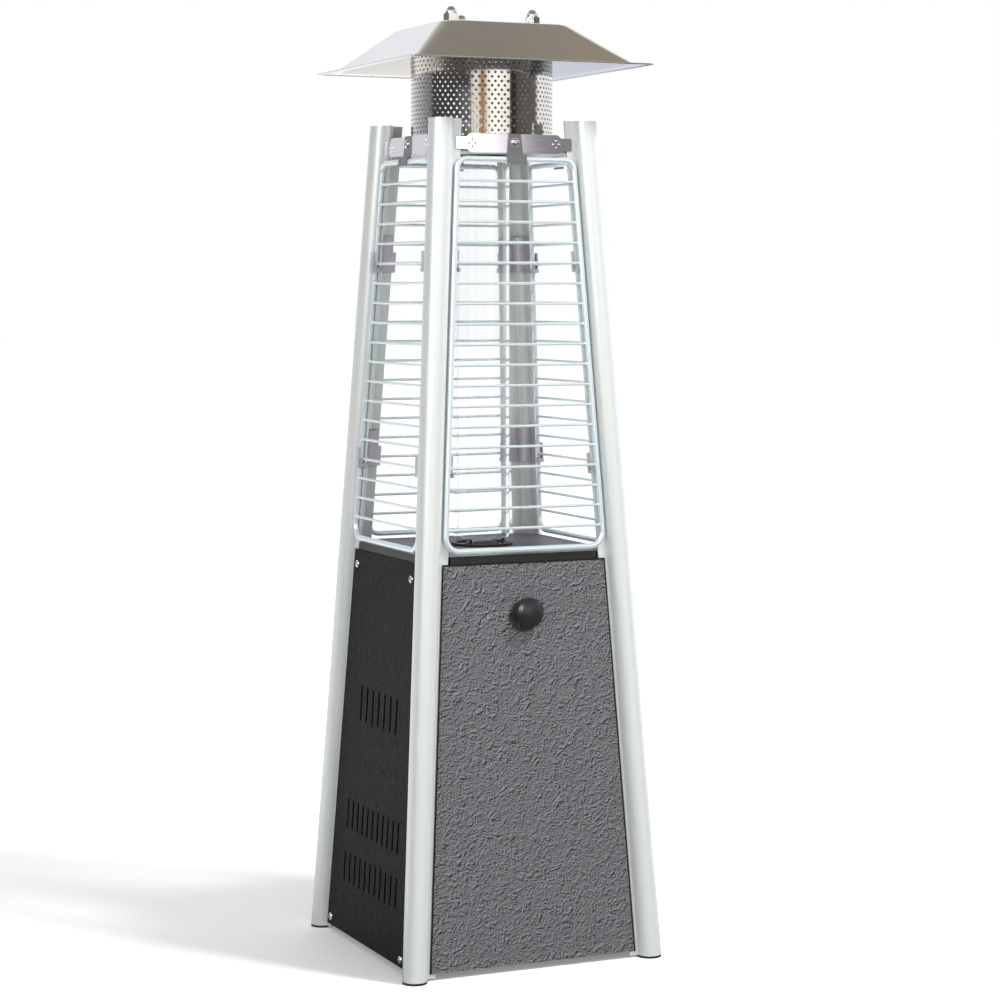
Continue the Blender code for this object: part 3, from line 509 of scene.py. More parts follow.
def hammered():
    """Grey hammered enamel.

    Painted light tops the folds and painted shade darkens their lower sides, the valleys and the rim; a
    painted shadow lies at the knob's foot.
    """
    made, tree, shader = nodes_for("hammered_enamel")
    shader.inputs["Metallic"].default_value = 0.25
    shader.inputs["Coat Weight"].default_value = 0.12
    relief = node(tree, "Attribute", attribute_name="relief")
    rim = node(tree, "Attribute", attribute_name="rim")
    folds = crumple(tree, 0.0)
    under = node(tree, "Math", operation="SUBTRACT")
    tree.links.new(folds, under.inputs[0])
    tree.links.new(crumple(tree, FOLD_SIDE), under.inputs[1])
    patches = node(tree, "Math", operation="MULTIPLY")
    tree.links.new(under.outputs[0], patches.inputs[0])
    patchy = noise_at(tree, 95.0, (0.6, 1, 1), 2.0)
    tree.links.new(ranged(tree, patchy, 0.8, 2.3, 0.38, 0.68), patches.inputs[1])
    fine = noise_at(tree, 1400.0)
    grey = mixed(tree, ranged(tree, fine, 0, 1), (0.144, 0.141, 0.151), (0.183, 0.179, 0.191))
    # Painted light on the folds' upper sides and painted shade on their lower sides, as under light
    # from above.
    upper_side = ranged(tree, patches.outputs[0], 0, 1, 0.15, 0.60)
    lit = mixed(tree, upper_side, grey, (0.270, 0.262, 0.283))
    lower_side = ranged(tree, patches.outputs[0], 0, 1, -0.10, -0.27)
    shaded_lower_sides = mixed(tree, lower_side, lit, (0.012, 0.010, 0.008))
    # Painted shade in the valleys of the relief.
    deep = ranged(tree, relief.outputs["Fac"], 1, 0, 0.0, 0.30)
    wear_and_valley_shade = mixed(tree, deep, shaded_lower_sides, (0.070, 0.060, 0.055))
    # Painted shadow of the knob: a dark disc a little below and left of its stem.
    place = node(tree, "TexCoord")
    away = node(tree, "VectorMath", operation="DISTANCE")
    away.inputs[1].default_value = (-0.0030, -CLEAR - PANEL_THICK, up_face(knob_place.z) - 0.0040)
    tree.links.new(place.outputs["Object"], away.inputs[0])
    knob_shadow = ranged(tree, away.outputs["Value"], 0, 0.85, 0.0185, 0.0150)
    # Painted shade along the gap at the panel's top and sides.
    border = ranged(tree, rim.outputs["Fac"], 0, 1, 0.05, 0.35)
    edge = node(tree, "Math", operation="MAXIMUM")
    tree.links.new(knob_shadow, edge.inputs[0])
    tree.links.new(border, edge.inputs[1])
    tone = mixed(tree, edge.outputs[0], wear_and_valley_shade, (0.010, 0.007, 0.005))
    tree.links.new(tone, shader.inputs["Base Color"])
    tree.links.new(ranged(tree, fine, 0.40, 0.54), shader.inputs["Roughness"])
    bumped(tree, shader, folds, 0.00075, 0.7)
    return made


def dark_enamel():
    """Dark enamel over a shallow texture whose folds run up the sheet."""
    made, tree, shader = nodes_for("dark_enamel")
    shader.inputs["Specular IOR Level"].default_value = 0.10
    folds = noise_at(tree, 420.0, (1, 1, 0.35), 5.0, 0.6)
    broad = noise_at(tree, 9.0, detail=2.0)
    tone = mixed(tree, ranged(tree, folds, 0, 1), (0.008, 0.007, 0.006), (0.024, 0.022, 0.020))
    tone = mixed(tree, ranged(tree, broad, 0, 0.5), tone, (0.018, 0.016, 0.014))
    tree.links.new(tone, shader.inputs["Base Color"])
    tree.links.new(ranged(tree, folds, 0.72, 0.56), shader.inputs["Roughness"])
    bumped(tree, shader, folds, 0.00022, 0.55)
    return made


def tray_enamel():
    """Grey enamel on the flat; painted shade makes every face that does not look up darker and browner.
    """
    made = surface("tray_enamel", (0.070, 0.066, 0.078), 0.0, 0.50, 700.0, tint=0.14, relief=0.00003)
    tree = made.node_tree
    shader = tree.nodes["Principled BSDF"]
    flat = shader.inputs["Base Color"].links[0].from_socket
    normal = node(tree, "NewGeometry")
    parts = node(tree, "SeparateXYZ")
    tree.links.new(normal.outputs["Normal"], parts.inputs[0])
    # Painted shade: faces that do not look up take the dark brown.
    upward = ranged(tree, parts.outputs["Z"], 0, 1, 0.4, 0.8)
    tree.links.new(mixed(tree, upward, (0.018, 0.014, 0.011), flat), shader.inputs["Base Color"])
    return made


def clear_glass():
    made, tree, shader = nodes_for("clear_glass")
    shader.inputs["Base Color"].default_value = (0.985, 0.995, 0.995, 1)
    shader.inputs["Transmission Weight"].default_value = 1.0
    shader.inputs["IOR"].default_value = 1.47
    haze = noise_at(tree, 40.0, (1, 1, 0.3))
    tree.links.new(ranged(tree, haze, 0.0, 0.03), shader.inputs["Roughness"])
    bumped(tree, shader, haze, 0.00002, 0.2)
    return made


silver = surface("pearl_silver", (0.66, 0.69, 0.67), 0.35, 0.40, 3200.0, tint=0.05, relief=0.000006,
                 coat=0.25, coat_rough=0.25)
hammered_grey = hammered()
dark = dark_enamel()
tray_grey = tray_enamel()
soot = surface("heat_darkened", (0.030, 0.028, 0.027), 0.3, 0.60, 800.0, tint=0.25, relief=0.00003)
zinc = surface("bright_zinc", (0.72, 0.80, 0.83), 0.55, 0.32, 1500.0, tint=0.07, relief=0.00001)
plated = surface("plated_steel", (0.66, 0.65, 0.63), 1.0, 0.16, 1200.0, tint=0.06, relief=0.000004)
hood_steel = steel_with_painted_sheen_and_shade("hood_steel", (0.64, 0.625, 0.61), 0.22)
screen_steel = brushed("screen_steel", (0.74, 0.72, 0.70), 0.09, "z", tint=0.04, spread=0.02,
                       relief=0.0000004)
band_steel = brushed("band_steel", (0.84, 0.83, 0.86), 0.05, "x", spread=0.015, relief=0.0000003)
clip_steel = surface("clip_steel", (0.23, 0.225, 0.23), 0.8, 0.40, 1100.0, tint=0.10)
bracket_steel = surface("bracket_steel", (0.55, 0.53, 0.56), 0.6, 0.42, 1100.0, tint=0.08)
inner_steel = surface("inner_steel", (0.42, 0.40, 0.38), 0.9, 0.40, 900.0, tint=0.10)
brass = surface("machined_brass", (0.55, 0.40, 0.17), 1.0, 0.30, 1500.0, tint=0.08)
knob_black = surface("knob_black", (0.013, 0.0145, 0.017), 0.0, 0.37, 2200.0, tint=0.12, relief=0.00002)
black_plastic = surface("black_plastic", (0.018, 0.018, 0.018), 0.0, 0.55, 1800.0, tint=0.15,
                        relief=0.00003)
seal_black = surface("black_silicone", (0.020, 0.019, 0.018), 0.0, 0.65, 1200.0, tint=0.15,
                     relief=0.00002)
glass = clear_glass()


# Pieces


def leg_mesh():
    """The leg's tube with its two flanges, standing at the origin and leaning along +X and +Y."""
    reach = LEG_RADIUS + FLANGE_WIDTH
    edge = math.degrees(math.asin(FLANGE_THICK / LEG_RADIUS))
    outline = (
        [(reach, 0), (reach, FLANGE_THICK)]
        + arc((0, 0), LEG_RADIUS, edge, 90 - edge, 16)
        + [(FLANGE_THICK, reach), (0, reach)]
        + arc((0, 0), LEG_RADIUS, 90, 360, 72)
    )
    bore = arc((0, 0), LEG_RADIUS - LEG_WALL, 0, 355, 71)
    mesh = plate([outline, bore], LEG_HIGH - LEG_LOW, 0.00035)
    mesh.transform(Matrix.Translation((0, 0, (LEG_HIGH + LEG_LOW) / 2)))
    slant = Matrix.Identity(4)
    slant[0][2] = slant[1][2] = math.tan(LEAN)
    mesh.transform(slant)
    return mesh


def build_legs():
    mesh = leg_mesh()
    for turns, corner in enumerate(CORNERS):
        turn = Matrix.Rotation(math.radians(90) * turns, 4, "Z")
        place = turn @ Matrix.Translation((-FACE_FOOT, -FACE_FOOT, 0))
        add(f"leg_{corner}_tube", mesh.copy(), silver, f"leg_{corner}", place)
        soften(f"foot_plug_{corner}", black_plastic)


def relief_at(u, v):
    """Height of the hammered relief, 0 to 1: ragged scales, each with a steep lower edge."""
    place = Vector((u * 0.8, v, 0.0)) * 1000
    warp = Vector((noise.noise(place / 3.3), noise.noise(place / 3.3 + Vector((9, 4, 2))), 0.0))
    bent = place + warp * 2.6
    drift = 1.5 * noise.noise(bent / 6.5 + Vector((3, 7, 1)))
    phase = bent.y / 6.2 + drift + 0.7 * noise.noise(bent / 2.6)
    scale = phase - math.floor(phase)
    scale = scale / 0.22 if scale < 0.22 else 1 - (scale - 0.22) / 0.78 * 0.85
    strength = min(1.0, max(0.0, 0.55 + 0.9 * noise.noise(bent / 5.0 + Vector((5, 1, 6)))))
    bumps = 0.5 + 0.8 * noise.noise(bent / 2.3 + Vector((2, 8, 3)))
    return min(1.0, max(0.0, strength * scale + (1 - strength) * bumps))


def build_front_panel():
    """The hammered sheet: a grid of points pushed in by the relief, closed by a flat back."""
    low, high = up_face(PANEL_LOW), up_face(PANEL_HIGH)
    inset = LEG_RADIUS + PANEL_GAP
    rows = round((high - low) / RELIEF_STEP)
    columns = round(2 * (spread(low) - inset) / RELIEF_STEP)
    front = -(CLEAR + PANEL_THICK)
    body = bmesh.new()
    kept = body.verts.layers.float.new("relief")
    gap_shade = body.verts.layers.float.new("rim")
    grid = []
    for i in range(rows + 1):
        v = low + (high - low) * i / rows
        half = spread(v) - inset
        line = []
        for j in range(columns + 1):
            u = half * (2 * j / columns - 1)
            rim = min(i, rows - i, j, columns - j)
            height = relief_at(u, v) if rim else 1.0
            vert = body.verts.new((u, front + RELIEF_DEPTH * (1 - height), v))
            vert[kept] = height
            # The outermost points at the top and sides carry the painted shade of the gap round the
            # panel.
            vert[gap_shade] = 1.0 if min(rows - i, j, columns - j) < 2 else 0.0
            line.append(vert)
        grid.append(line)
    for lower, upper in zip(grid, grid[1:]):
        for j in range(columns):
            body.faces.new((lower[j], lower[j + 1], upper[j + 1], upper[j]))
    border = (
        grid[0][:-1]
        + [line[-1] for line in grid[:-1]]
        + grid[-1][:0:-1]
        + [line[0] for line in grid[:0:-1]]
    )
    back = [body.verts.new((v.co.x, -CLEAR, v.co.z)) for v in border]
    for i in range(len(border)):
        j = (i + 1) % len(border)
        body.faces.new((border[j], border[i], back[i], back[j]))
    body.faces.new(back)
    mesh = mesh_of(body)
    drill = turned([(0, 0.02), (STEM_HOLE, 0.02), (STEM_HOLE, -0.02), (0, -0.02)], 32)
    drill.transform(out_of_face(0, up_face(knob_place.z), 0))
    mesh = combined(mesh, drill)
    add("front_panel_hammered", mesh, hammered_grey, "front_panel", face_frame(0), sharp=80)


def screw_mesh(radius, height):
    """A pan head with a cross recess, standing on Z = 0."""
    profile = [(0, height)]
    profile += [(radius * math.sin(math.radians(a)), height * (0.25 + 0.75 * math.cos(math.radians(a))))
                for a in range(15, 91, 15)]
    profile += [(radius, 0), (0, 0)]
    head = turned(profile, 32)
    wide, narrow, deep = radius * 0.62, radius * 0.13, height * 0.45
    for half_x, half_y in ((wide, narrow), (narrow, wide)):
        body = bmesh.new()
        bmesh.ops.create_cube(body, size=2)
        bmesh.ops.scale(body, vec=(half_x, half_y, deep), verts=body.verts)
        bmesh.ops.translate(body, vec=(0, 0, height + deep * 0.1), verts=body.verts)
        head = combined(head, mesh_of(body))
    return head


def build_side_panels():
    head = screw_mesh(SCREW_RADIUS, SCREW_HEIGHT)
    for turns, side in ((3, "left"), (1, "right")):
        panel = f"side_panel_{side}"
        soften(panel, dark)
        out = CLEAR + PANEL_THICK
        rearward = -1 if side == "left" else 1
        places = [(rearward * u, up_face(z)) for u, z in PANEL_SCREWS]
        heads = joined([moved(head, out_of_face(u, v, out)) for u, v in places])
        add(f"{panel}_screws", heads, plated, panel, face_frame(turns), replace=False)


def build_pans_and_inside():
    soften("burner_tray", tray_grey, 0.0004)
    soften("base_floor", dark)
    soften("crown_plate", inner_steel)
    soften("rear_door", dark)
    soften("valve_bracket", dark)
    for level in LEVELS:
        soften(f"hinge_bracket_{level}", plated)
    for name, look in (
        ("door_magnet", black_plastic),
        ("gas_valve", brass),
        ("regulator", brass),
        ("tip_over_switch", black_plastic),
        ("burner", soot),
        ("gas_pipe", brass),
        ("valve_stem", brass),
        ("igniter_electrode", soot),
        ("thermocouple", soot),
        ("glass_seat", tray_grey),
        ("glass_collar", seal_black),
    ):
        soften(name, look)


def build_glass():
    low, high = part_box("glass_tube")
    outer, edge = high.x, 0.0006
    inner = outer - GLASS_WALL
    profile = [
        (outer - edge, high.z),
        (outer, high.z - edge),
        (outer, low.z + edge),
        (outer - edge, low.z),
        (inner + edge, low.z),
        (inner, low.z + edge),
        (inner, high.z - edge),
        (inner + edge, high.z),
    ]
    add("glass_tube_clear", turned(profile, 96, ring=True), glass, "glass_tube")


def build_bands():
    head = screw_mesh(CLIP_SCREW_RADIUS, CLIP_SCREW_HEIGHT)
    washer = turned(
        [
            (0, WASHER_THICK),
            (CLIP_SCREW_RADIUS * 1.2, WASHER_THICK),
            (CLIP_SCREW_RADIUS * 1.25, WASHER_THICK / 2),
            (CLIP_SCREW_RADIUS * 1.25, 0),
            (0, 0),
        ],
        32,
    )
    swell = [(DIMPLE_RADIUS * math.sin(math.radians(a)), DIMPLE_RAISE * math.cos(math.radians(a)))
             for a in (30, 60, 90)]
    root = [(DIMPLE_RADIUS, -SHEET / 2), (0, -SHEET / 2)]
    dome = turned([(0, DIMPLE_RAISE)] + swell + root, 20)
    for turns, face in enumerate(FACES):
        band, clip = f"top_band_{face}", f"guard_clip_{face}"
        soften(band, band_steel)
        soften(clip, clip_steel)
        place = face_frame(turns)
        low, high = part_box(band)
        middle = up_face((low.z + high.z) / 2)
        end = spread(middle) - LEG_RADIUS - FLANGE_WIDTH - DIMPLE_FROM_END
        spots = []
        for side in (-1, 1):
            for du, dv in ((0, 1), (0, -1), (1, 0), (-1, 0)):
                spot = (side * end + du * DIMPLE_SPREAD, middle + dv * DIMPLE_SPREAD)
                spots.append(moved(dome, out_of_face(*spot, CLEAR + SHEET)))
        add(f"{band}_dimples", joined(spots), band_steel, band, place, replace=False)
        v = up_face(LEG_HIGH - CLIP_SCREW_DROP)
        out = 2 * CLEAR + 2 * SHEET
        seat = moved(washer, out_of_face(0, v, out))
        fixing = joined([seat, moved(head, out_of_face(0, v, out + 0.0005))])
        add(f"{clip}_screw", fixing, plated, clip, place, replace=False)


def wire_heights(low, high):
    spaces = math.floor((high - low - 2 * WIRE_MARGIN) / WIRE_PITCH + 0.1)
    first = (low + high - spaces * WIRE_PITCH) / 2
    return [first + i * WIRE_PITCH for i in range(spaces + 1)]


def build_guards():
    box_low, box_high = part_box("wire_guard_front")
    tilt = GUARD_ROD * math.cos(LEAN)
    low = up_face(box_low.z + tilt - ROD_OUT * math.sin(LEAN))
    high = up_face(box_high.z - tilt - ROD_OUT * math.sin(LEAN))
    inset = LEG_RADIUS + GUARD_GAP
    wide, narrow = spread(low) - inset, spread(high) - inset
    corners = [(-wide, low), (wide, low), (narrow, high), (-narrow, high)]
    loop = [(u, -ROD_OUT, v) for u, v in filleted(corners, GUARD_BENDS, 10)]
    pieces = [rod(loop, GUARD_ROD, 16, cyclic=True)]
    nub = bmesh.new()
    bmesh.ops.create_uvsphere(nub, u_segments=12, v_segments=8, radius=1)
    nub = mesh_of(nub)
    for v in wire_heights(low, high):
        reach = spread(v) - inset
        pieces.append(rod([(-reach, -ROD_OUT, v), (reach, -ROD_OUT, v)], GUARD_WIRE, 12))
        for side in (-1, 1):
            at = Matrix.Translation((side * (reach - GUARD_ROD * 0.75), -ROD_OUT, v))
            pieces.append(moved(nub, at @ Matrix.Diagonal((*WELD_BEAD, 1))))
    mesh = joined(pieces)
    for turns, face in enumerate(FACES):
        add(f"wire_guard_{face}_welded", mesh.copy(), zinc, f"wire_guard_{face}", face_frame(turns))
    for level in LEVELS:
        for corner in CORNERS:
            soften(f"guard_bracket_{level}_{corner}", bracket_steel, 0.0005)


def perforated(radius, low, high):
    """The skin of a perforated tube: a cell round each hole, every second row half a cell on."""
    rows = int((high - low - HOLE_ROW_PITCH / 2) / HOLE_ROW_PITCH)
    first = (low + high - rows * HOLE_ROW_PITCH) / 2
    quarter = 2 * math.pi / HOLES_AROUND / 4
    around = 4 * HOLES_AROUND
    body = bmesh.new()
    shared = {}

    def on_tube(angle, height):
        return (radius * math.cos(angle), radius * math.sin(angle), height)

    def corner(across, up):
        key = (across % around, up)
        if key not in shared:
            shared[key] = body.verts.new(on_tube(key[0] * quarter, first + up * HOLE_ROW_PITCH / 2))
        return shared[key]

    border = (
        (4, 1), (4, 2), (3, 2), (2, 2), (1, 2), (0, 2),
        (0, 1), (0, 0), (1, 0), (2, 0), (3, 0), (4, 0),
    )
    for row in range(rows):
        for cell in range(HOLES_AROUND):
            start = 4 * cell + 2 * (row % 2)
            outer = [corner(start + across, 2 * row + up) for across, up in border]
            height = first + (row + 0.5) * HOLE_ROW_PITCH
            hole = []
            for i in range(12):
                a = math.radians(30 * i)
                angle = (start + 2) * quarter + HOLE_RADIUS * math.cos(a) / radius
                hole.append(body.verts.new(on_tube(angle, height + HOLE_RADIUS * math.sin(a))))
            for i in range(12):
                j = (i + 1) % 12
                body.faces.new((outer[i], outer[j], hole[j], hole[i]))
    for edge_row, end in ((0, low), (2 * rows, high)):
        rim = [body.verts.new(on_tube(i * quarter, end)) for i in range(around)]
        for i in range(around):
            j = (i + 1) % around
            body.faces.new((rim[i], rim[j], corner(j, edge_row), corner(i, edge_row)))
    return mesh_of(body)


def build_screen():
    low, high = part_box("flame_screen")
    skin = bpy.data.objects.new("skin", perforated(high.x, low.z, high.z))
    wall = skin.modifiers.new("wall", "SOLIDIFY")
    wall.thickness = SCREEN_WALL
    wall.offset = -1
    add("flame_screen_perforated", realised(skin), screen_steel, "flame_screen")
    soften("screen_cap", inner_steel)


def hood_profile():
    """(half width, height, corner radius) from the middle of the top, round the hem, and back."""
    low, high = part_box("reflector_hood")
    rim_half, top = high.x, high.z
    rim = low.z + HOOD_THICK / 2
    fold = rim_half - HOOD_RIM_WIDTH
    top_half = HOOD_TOP_HALF
    drop = top - rim - HOOD_FOLD_RISE
    fall = math.atan2(drop, fold - top_half)
    outer = [(top_half * 0.5, top, 0.030), (top_half - 0.004, top, 0.019)]
    for i in range(6):
        a = fall * i / 5
        half = top_half - HOOD_BEND * math.tan(fall / 2) + HOOD_BEND * math.sin(a)
        outer.append((half, top - HOOD_BEND * (1 - math.cos(a)), 0.018))
    for share, radius in ((0.35, 0.0168), (0.7, 0.0150)):
        outer.append((top_half + (fold - top_half) * share, top - drop * share, radius))
    outer += [
        (fold - 0.0012, rim + 0.0027, 0.0125),
        (fold + 0.0002, rim + 0.0018, 0.0115),
        (fold + 0.0020, rim + 0.0013, 0.0100),
        (rim_half - 0.0022, rim + 0.0005, 0.0062),
    ]
    inner = [(half - HOOD_THICK * 0.6, height - HOOD_THICK, max(radius - 0.0006, 0.004))
             for half, height, radius in reversed(outer[:-1])]
    hem = []
    for a in (70, 35, 0, -35, -70):
        half = rim_half - HEM_RADIUS + HEM_RADIUS * math.cos(math.radians(a))
        hem.append((half, rim + 0.0001 + HEM_RADIUS * math.sin(math.radians(a)), 0.0050))
    hem += [(rim_half - 0.0026, rim - 0.0007, 0.0055), (rim_half - 0.0030, rim - 0.0001, 0.0055)]
    return outer + hem + inner


def build_hood():
    body = bmesh.new()
    previous = None
    for half, height, radius in hood_profile():
        square = [(-half, -half), (half, -half), (half, half), (-half, half)]
        loop = [body.verts.new((x, y, height)) for x, y in filleted(square, [radius] * 4, 10)]
        if previous is None:
            body.faces.new(loop)
        else:
            for i in range(len(loop)):
                j = (i + 1) % len(loop)
                body.faces.new((previous[i], loop[i], loop[j], previous[j]))
        previous = loop
    body.faces.new(previous)
    add("reflector_hood_formed", mesh_of(body), hood_steel, "reflector_hood", sharp=50)


def nut_mesh(radius, height):
    """Flanged dome nut standing on Z = 0: a skirt, a chamfered hexagon and a dome."""
    flat, skirt = radius * 0.74, SHEET
    hex_top = height * 0.58
    hexagon = arc((0, 0), flat / math.cos(math.radians(30)), 0, 300, 5)
    prism = plate([hexagon], hex_top - skirt * 0.4)
    prism.transform(Matrix.Translation((0, 0, (hex_top + skirt * 0.4) / 2)))
    wide = flat * 1.18
    cone = [(0, hex_top), (flat, hex_top), (wide, hex_top - flat * 0.14), (wide, 0), (0, 0)]
    chamfer = turned(cone, 48)
    body = combined(prism, chamfer, "INTERSECT")
    dome_radius, rise = flat * 0.90, height - hex_top
    dome = [(0, height)]
    dome += [(dome_radius * math.sin(math.radians(a)), hex_top + rise * math.cos(math.radians(a)))
             for a in range(10, 91, 10)]
    crown = turned(dome + [(dome_radius, hex_top - 0.001), (0, hex_top - 0.001)], 32)
    base = turned(
        [
            (0, skirt),
            (flat * 0.98, skirt),
            (radius * 0.93, skirt * 0.7),
            (radius, skirt * 0.4),
            (radius, 0),
            (0, 0),
        ],
        40,
    )
    return joined([body, crown, base])


def build_nuts():
    for number in (1, 2, 3):
        name = f"cap_nut_{number}"
        low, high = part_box(name)
        middle = (low + high) / 2
        mesh = nut_mesh((high.y - low.y) / 2, high.z - low.z)
        turn = Matrix.Rotation(math.radians(NUT_TURN * number), 4, "Z")
        place = Matrix.Translation((middle.x, middle.y, low.z)) @ turn
        add(f"{name}_domed", mesh, plated, name, place)
        soften(f"hood_post_{number}", plated)


def build_knob():
    """Domed knob with a short skirt, on its own turning axis."""
    low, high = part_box("control_knob")
    radius = (high.x - low.x) / 2
    travel = joints["knob_push"]["range_m"][1]
    back = CLEAR + PANEL_THICK + travel + CLEAR
    depth = KNOB_DEPTH
    front = back + depth
    crown = [(0, front)]
    for a in range(6, 73, 6):
        fall = depth * 0.56 * (1 - math.cos(math.radians(a)))
        crown.append((radius * 0.95 * math.sin(math.radians(a)), front - fall))
    profile = crown + [
        (radius * 0.965, front - depth * 0.44),
        (radius * 0.99, front - depth * 0.52),
        (radius, front - depth * 0.60),
        (radius, back + depth * 0.16),
        (radius * 0.985, back + depth * 0.09),
        (radius * 0.95, back + depth * 0.05),
        (radius * 0.93, back),
        (STEM_RADIUS + CLEAR, back),
        (STEM_RADIUS + CLEAR, back + KNOB_BORE),
        (0, back + KNOB_BORE),
    ]
    place = face_frame(0) @ out_of_face(0, up_face(knob_place.z), 0)
    add("control_knob_domed", turned(profile, 72), knob_black, "control_knob", place)


# Stage

LENS = 94.62
LENS_PLACE = Vector((-1.14445, -2.58791, 0.71318))
LENS_AIM = Vector((0.02154, 0, 0.48258))

# Each stop's place is a share of a turn, anticlockwise from straight behind the heater as the
# lens sees it. The ceiling's places, and where a zone begins and is whole, are heights of a
# direction of length one.
STUDIO_TURN = 66.1 / 360
STUDIO_UPPER_FROM = (0.125, 0.150)
STUDIO_CEILING_FROM = (0.30, 0.50)
STUDIO_WALL = (
    (0.00, (1.30, 1.30, 1.30)),
    (0.08, (0.95, 0.96, 0.99)),
    (0.20, (0.40, 0.40, 0.43)),
    (0.25, (0.22, 0.22, 0.24)),
    (0.262, (0.06, 0.06, 0.06)),
    (0.447, (0.07, 0.07, 0.07)),
    (0.460, (0.85, 0.84, 0.80)),
    (0.49, (0.95, 0.90, 0.80)),
    (0.495, (0.42, 0.24, 0.12)),
    (0.515, (0.48, 0.28, 0.15)),
    (0.52, (1.00, 0.97, 0.88)),
    (0.56, (1.45, 1.43, 1.36)),
    (0.625, (1.10, 1.06, 1.00)),
    (0.632, (0.03, 0.015, 0.01)),
    (0.655, (0.04, 0.02, 0.015)),
    (0.665, (0.10, 0.095, 0.09)),
    (0.77, (0.14, 0.135, 0.13)),
    (0.79, (1.10, 1.10, 1.10)),
)
STUDIO_UPPER = (
    (0.00, (1.10, 1.12, 1.16)),
    (0.10, (0.90, 0.92, 0.96)),
    (0.20, (0.42, 0.42, 0.46)),
    (0.27, (0.10, 0.10, 0.10)),
    (0.44, (0.12, 0.12, 0.12)),
    (0.46, (1.10, 1.10, 1.12)),
    (0.6345, (1.90, 1.90, 1.92)),
    (0.6356, (0.24, 0.23, 0.26)),
    (0.70, (0.30, 0.29, 0.32)),
    (0.78, (0.80, 0.80, 0.82)),
    (1.00, (1.10, 1.12, 1.16)),
)
STUDIO_FILL = (
    (0.00, (0.44, 0.45, 0.44)),
    (0.22, (0.16, 0.17, 0.16)),
    (0.36, (0.34, 0.34, 0.34)),
    (0.50, (0.96, 0.97, 0.99)),
    (0.62, (0.76, 0.76, 0.76)),
    (0.80, (0.52, 0.53, 0.54)),
    (1.00, (0.44, 0.45, 0.44)),
)
STUDIO_CEILING = (
    (0.30, (1.25, 1.29, 1.38)),
    (0.48, (1.15, 1.19, 1.28)),
    (0.66, (0.50, 0.48, 0.45)),
    (0.80, (0.33, 0.30, 0.26)),
    (1.00, (0.36, 0.33, 0.29)),
)


def reflected(tree, path):
    """One for a ray that a glossy surface sent back, and not for one that came through glass."""
    kept = node(tree, "Math", operation="SUBTRACT")
    kept.use_clamp = True
    tree.links.new(path.outputs["Is Glossy Ray"], kept.inputs[0])
    tree.links.new(path.outputs["Is Transmission Ray"], kept.inputs[1])
    return kept.outputs[0]


def build_floor():
    made, tree, shader = nodes_for("pale_floor")
    grain = noise_at(tree, 30.0)
    tone = mixed(tree, ranged(tree, grain, 0, 1), (0.88, 0.88, 0.88), (0.90, 0.90, 0.90))
    shader.inputs["Roughness"].default_value = 1.0
    shader.inputs["Emission Color"].default_value = (1, 1, 1, 1)
    place = node(tree, "TexCoord")
    far = node(tree, "VectorMath", operation="LENGTH")
    tree.links.new(place.outputs["Object"], far.inputs[0])
    parts = node(tree, "SeparateXYZ")
    tree.links.new(place.outputs["Object"], parts.inputs[0])
    path = node(tree, "LightPath")
    flag = node(tree, "Math", operation="MULTIPLY")
    tree.links.new(reflected(tree, path), flag.inputs[0])
    tree.links.new(ranged(tree, parts.outputs["Y"], 1, 0, -0.15, 0.25), flag.inputs[1])
    tree.links.new(mixed(tree, flag.outputs[0], tone, (0.10, 0.095, 0.09)), shader.inputs["Base Color"])
    glow = ranged(tree, far.outputs["Value"], 0.22, 0.60, 0.5, 1.6)
    kept = node(tree, "Math", operation="SUBTRACT")
    kept.inputs[0].default_value = 1.0
    tree.links.new(flag.outputs[0], kept.inputs[1])
    strength = node(tree, "Math", operation="MULTIPLY")
    tree.links.new(glow, strength.inputs[0])
    tree.links.new(kept.outputs[0], strength.inputs[1])
    tree.links.new(strength.outputs[0], shader.inputs["Emission Strength"])
    mesh = turned([(0, 0), (FLOOR_RADIUS, 0)], 96)
    mesh.materials.append(made)
    floor = bpy.data.objects.new("floor", mesh)
    bpy.context.scene.collection.objects.link(floor)
    floor.location.z = -FLOOR_DROP


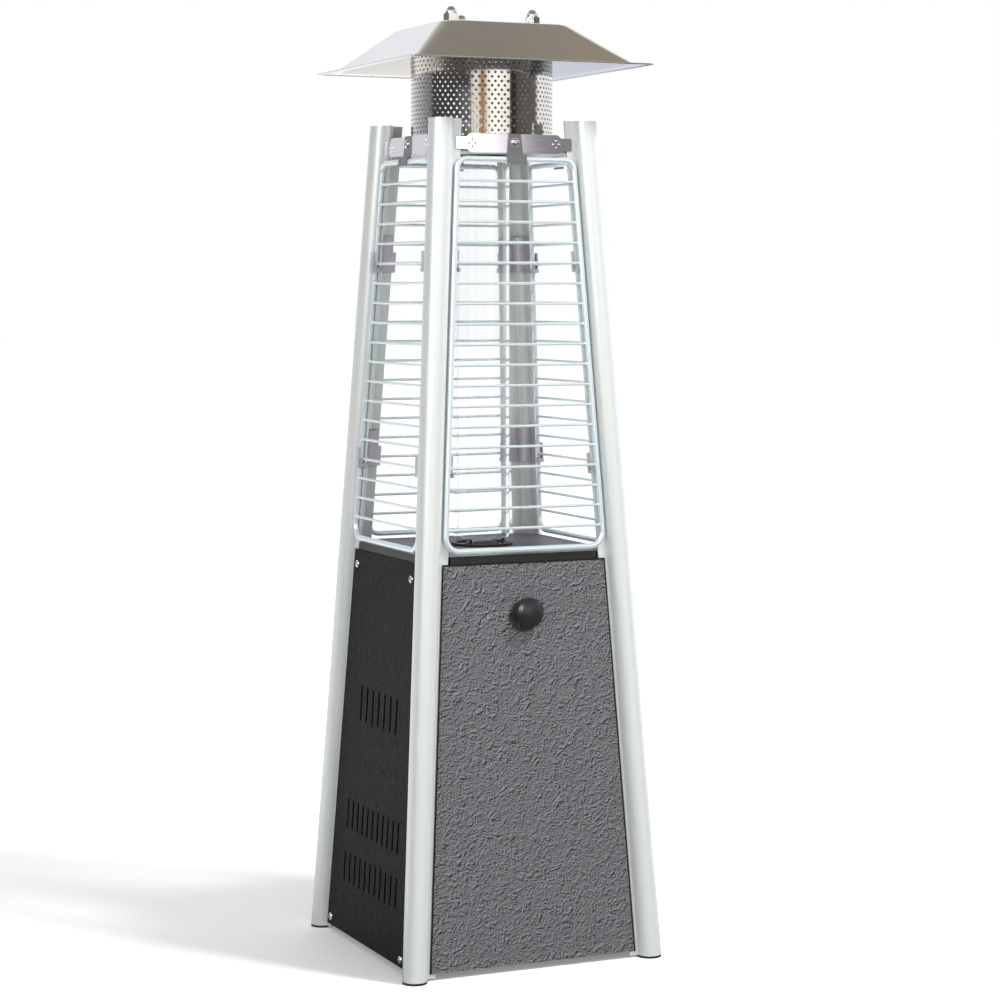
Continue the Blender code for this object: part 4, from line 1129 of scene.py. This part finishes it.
def build_world():
    """A studio for reflections: bright and dark screens round the horizon, and a dim ceiling.

    Only reflections show it. STUDIO_FILL lights matt surfaces, and a look straight at it, or
    through the glass, meets plain white.
    """
    world = bpy.data.worlds.new("studio")
    bpy.context.scene.world = world
    world.use_nodes = True
    tree = world.node_tree
    background = tree.nodes["Background"]
    place = node(tree, "TexCoord")
    parts = node(tree, "SeparateXYZ")
    tree.links.new(place.outputs["Generated"], parts.inputs[0])
    around = node(tree, "Math", operation="ARCTAN2")
    tree.links.new(parts.outputs["Y"], around.inputs[0])
    tree.links.new(parts.outputs["X"], around.inputs[1])
    turn = node(tree, "Math", operation="MULTIPLY_ADD")
    turn.inputs[1].default_value = 0.5 / math.pi
    turn.inputs[2].default_value = 1 - STUDIO_TURN
    tree.links.new(around.outputs[0], turn.inputs[0])
    part = node(tree, "Math", operation="FRACT")
    tree.links.new(turn.outputs[0], part.inputs[0])
    wall = ramp(tree, part.outputs[0], STUDIO_WALL)
    ceiling = ramp(tree, parts.outputs["Z"], STUDIO_CEILING)
    upper = ramp(tree, part.outputs[0], STUDIO_UPPER)
    wall = mixed(tree, ranged(tree, parts.outputs["Z"], 0, 1, *STUDIO_UPPER_FROM), wall, upper)
    rise = ranged(tree, parts.outputs["Z"], 0, 1, *STUDIO_CEILING_FROM)
    room = mixed(tree, rise, wall, ceiling)
    path = node(tree, "LightPath")
    fill = ramp(tree, part.outputs[0], STUDIO_FILL)
    soft = mixed(tree, path.outputs["Is Diffuse Ray"], (1.0, 1.0, 1.0), fill)
    tree.links.new(mixed(tree, reflected(tree, path), soft, room), background.inputs["Color"])
    background.inputs["Strength"].default_value = 1.0


def lamp(name, place, aim, size, power, gleams=False):
    """An area lamp. One that gleams shows only in glossy surfaces, and any other never does."""
    light = bpy.data.lights.new(name, "AREA")
    light.shape = "RECTANGLE"
    light.size, light.size_y = size
    light.energy = power
    thing = bpy.data.objects.new(name, light)
    bpy.context.scene.collection.objects.link(thing)
    thing.location = place
    thing.rotation_mode = "QUATERNION"
    thing.rotation_quaternion = (Vector(aim) - Vector(place)).to_track_quat("-Z", "Y")
    thing.visible_glossy = gleams
    thing.visible_diffuse = not gleams


def build_lights():
    lamp("key", (1.0, -1.25, 2.7), (0, 0, 0.30), (0.4, 0.4), 78)
    lamp("fill", (-2.8, -1.2, 1.3), (0, 0, 0.5), (1.4, 1.8), 8)
    lamp("gleam", (-1.9, -1.6, 1.75), (0, 0, 0.4), (0.8, 0.8), 65, gleams=True)
    lamp("back", (0.8, 2.8, 1.8), (0, 0, 0.6), (2.0, 1.4), 24)


def build_camera():
    data = bpy.data.cameras.new("lens")
    data.sensor_width = 36
    data.lens = LENS
    data.clip_end = 100
    camera = bpy.data.objects.new("lens", data)
    bpy.context.scene.collection.objects.link(camera)
    camera.location = LENS_PLACE
    camera.rotation_mode = "QUATERNION"
    camera.rotation_quaternion = (LENS_AIM - LENS_PLACE).to_track_quat("-Z", "Y")
    bpy.context.scene.camera = camera


build_legs()
build_front_panel()
build_side_panels()
build_pans_and_inside()
build_glass()
build_bands()
build_guards()
build_screen()
build_hood()
build_nuts()
build_knob()
build_floor()
build_world()
build_lights()
build_camera()
bpy.context.scene.view_settings.view_transform = "Standard"
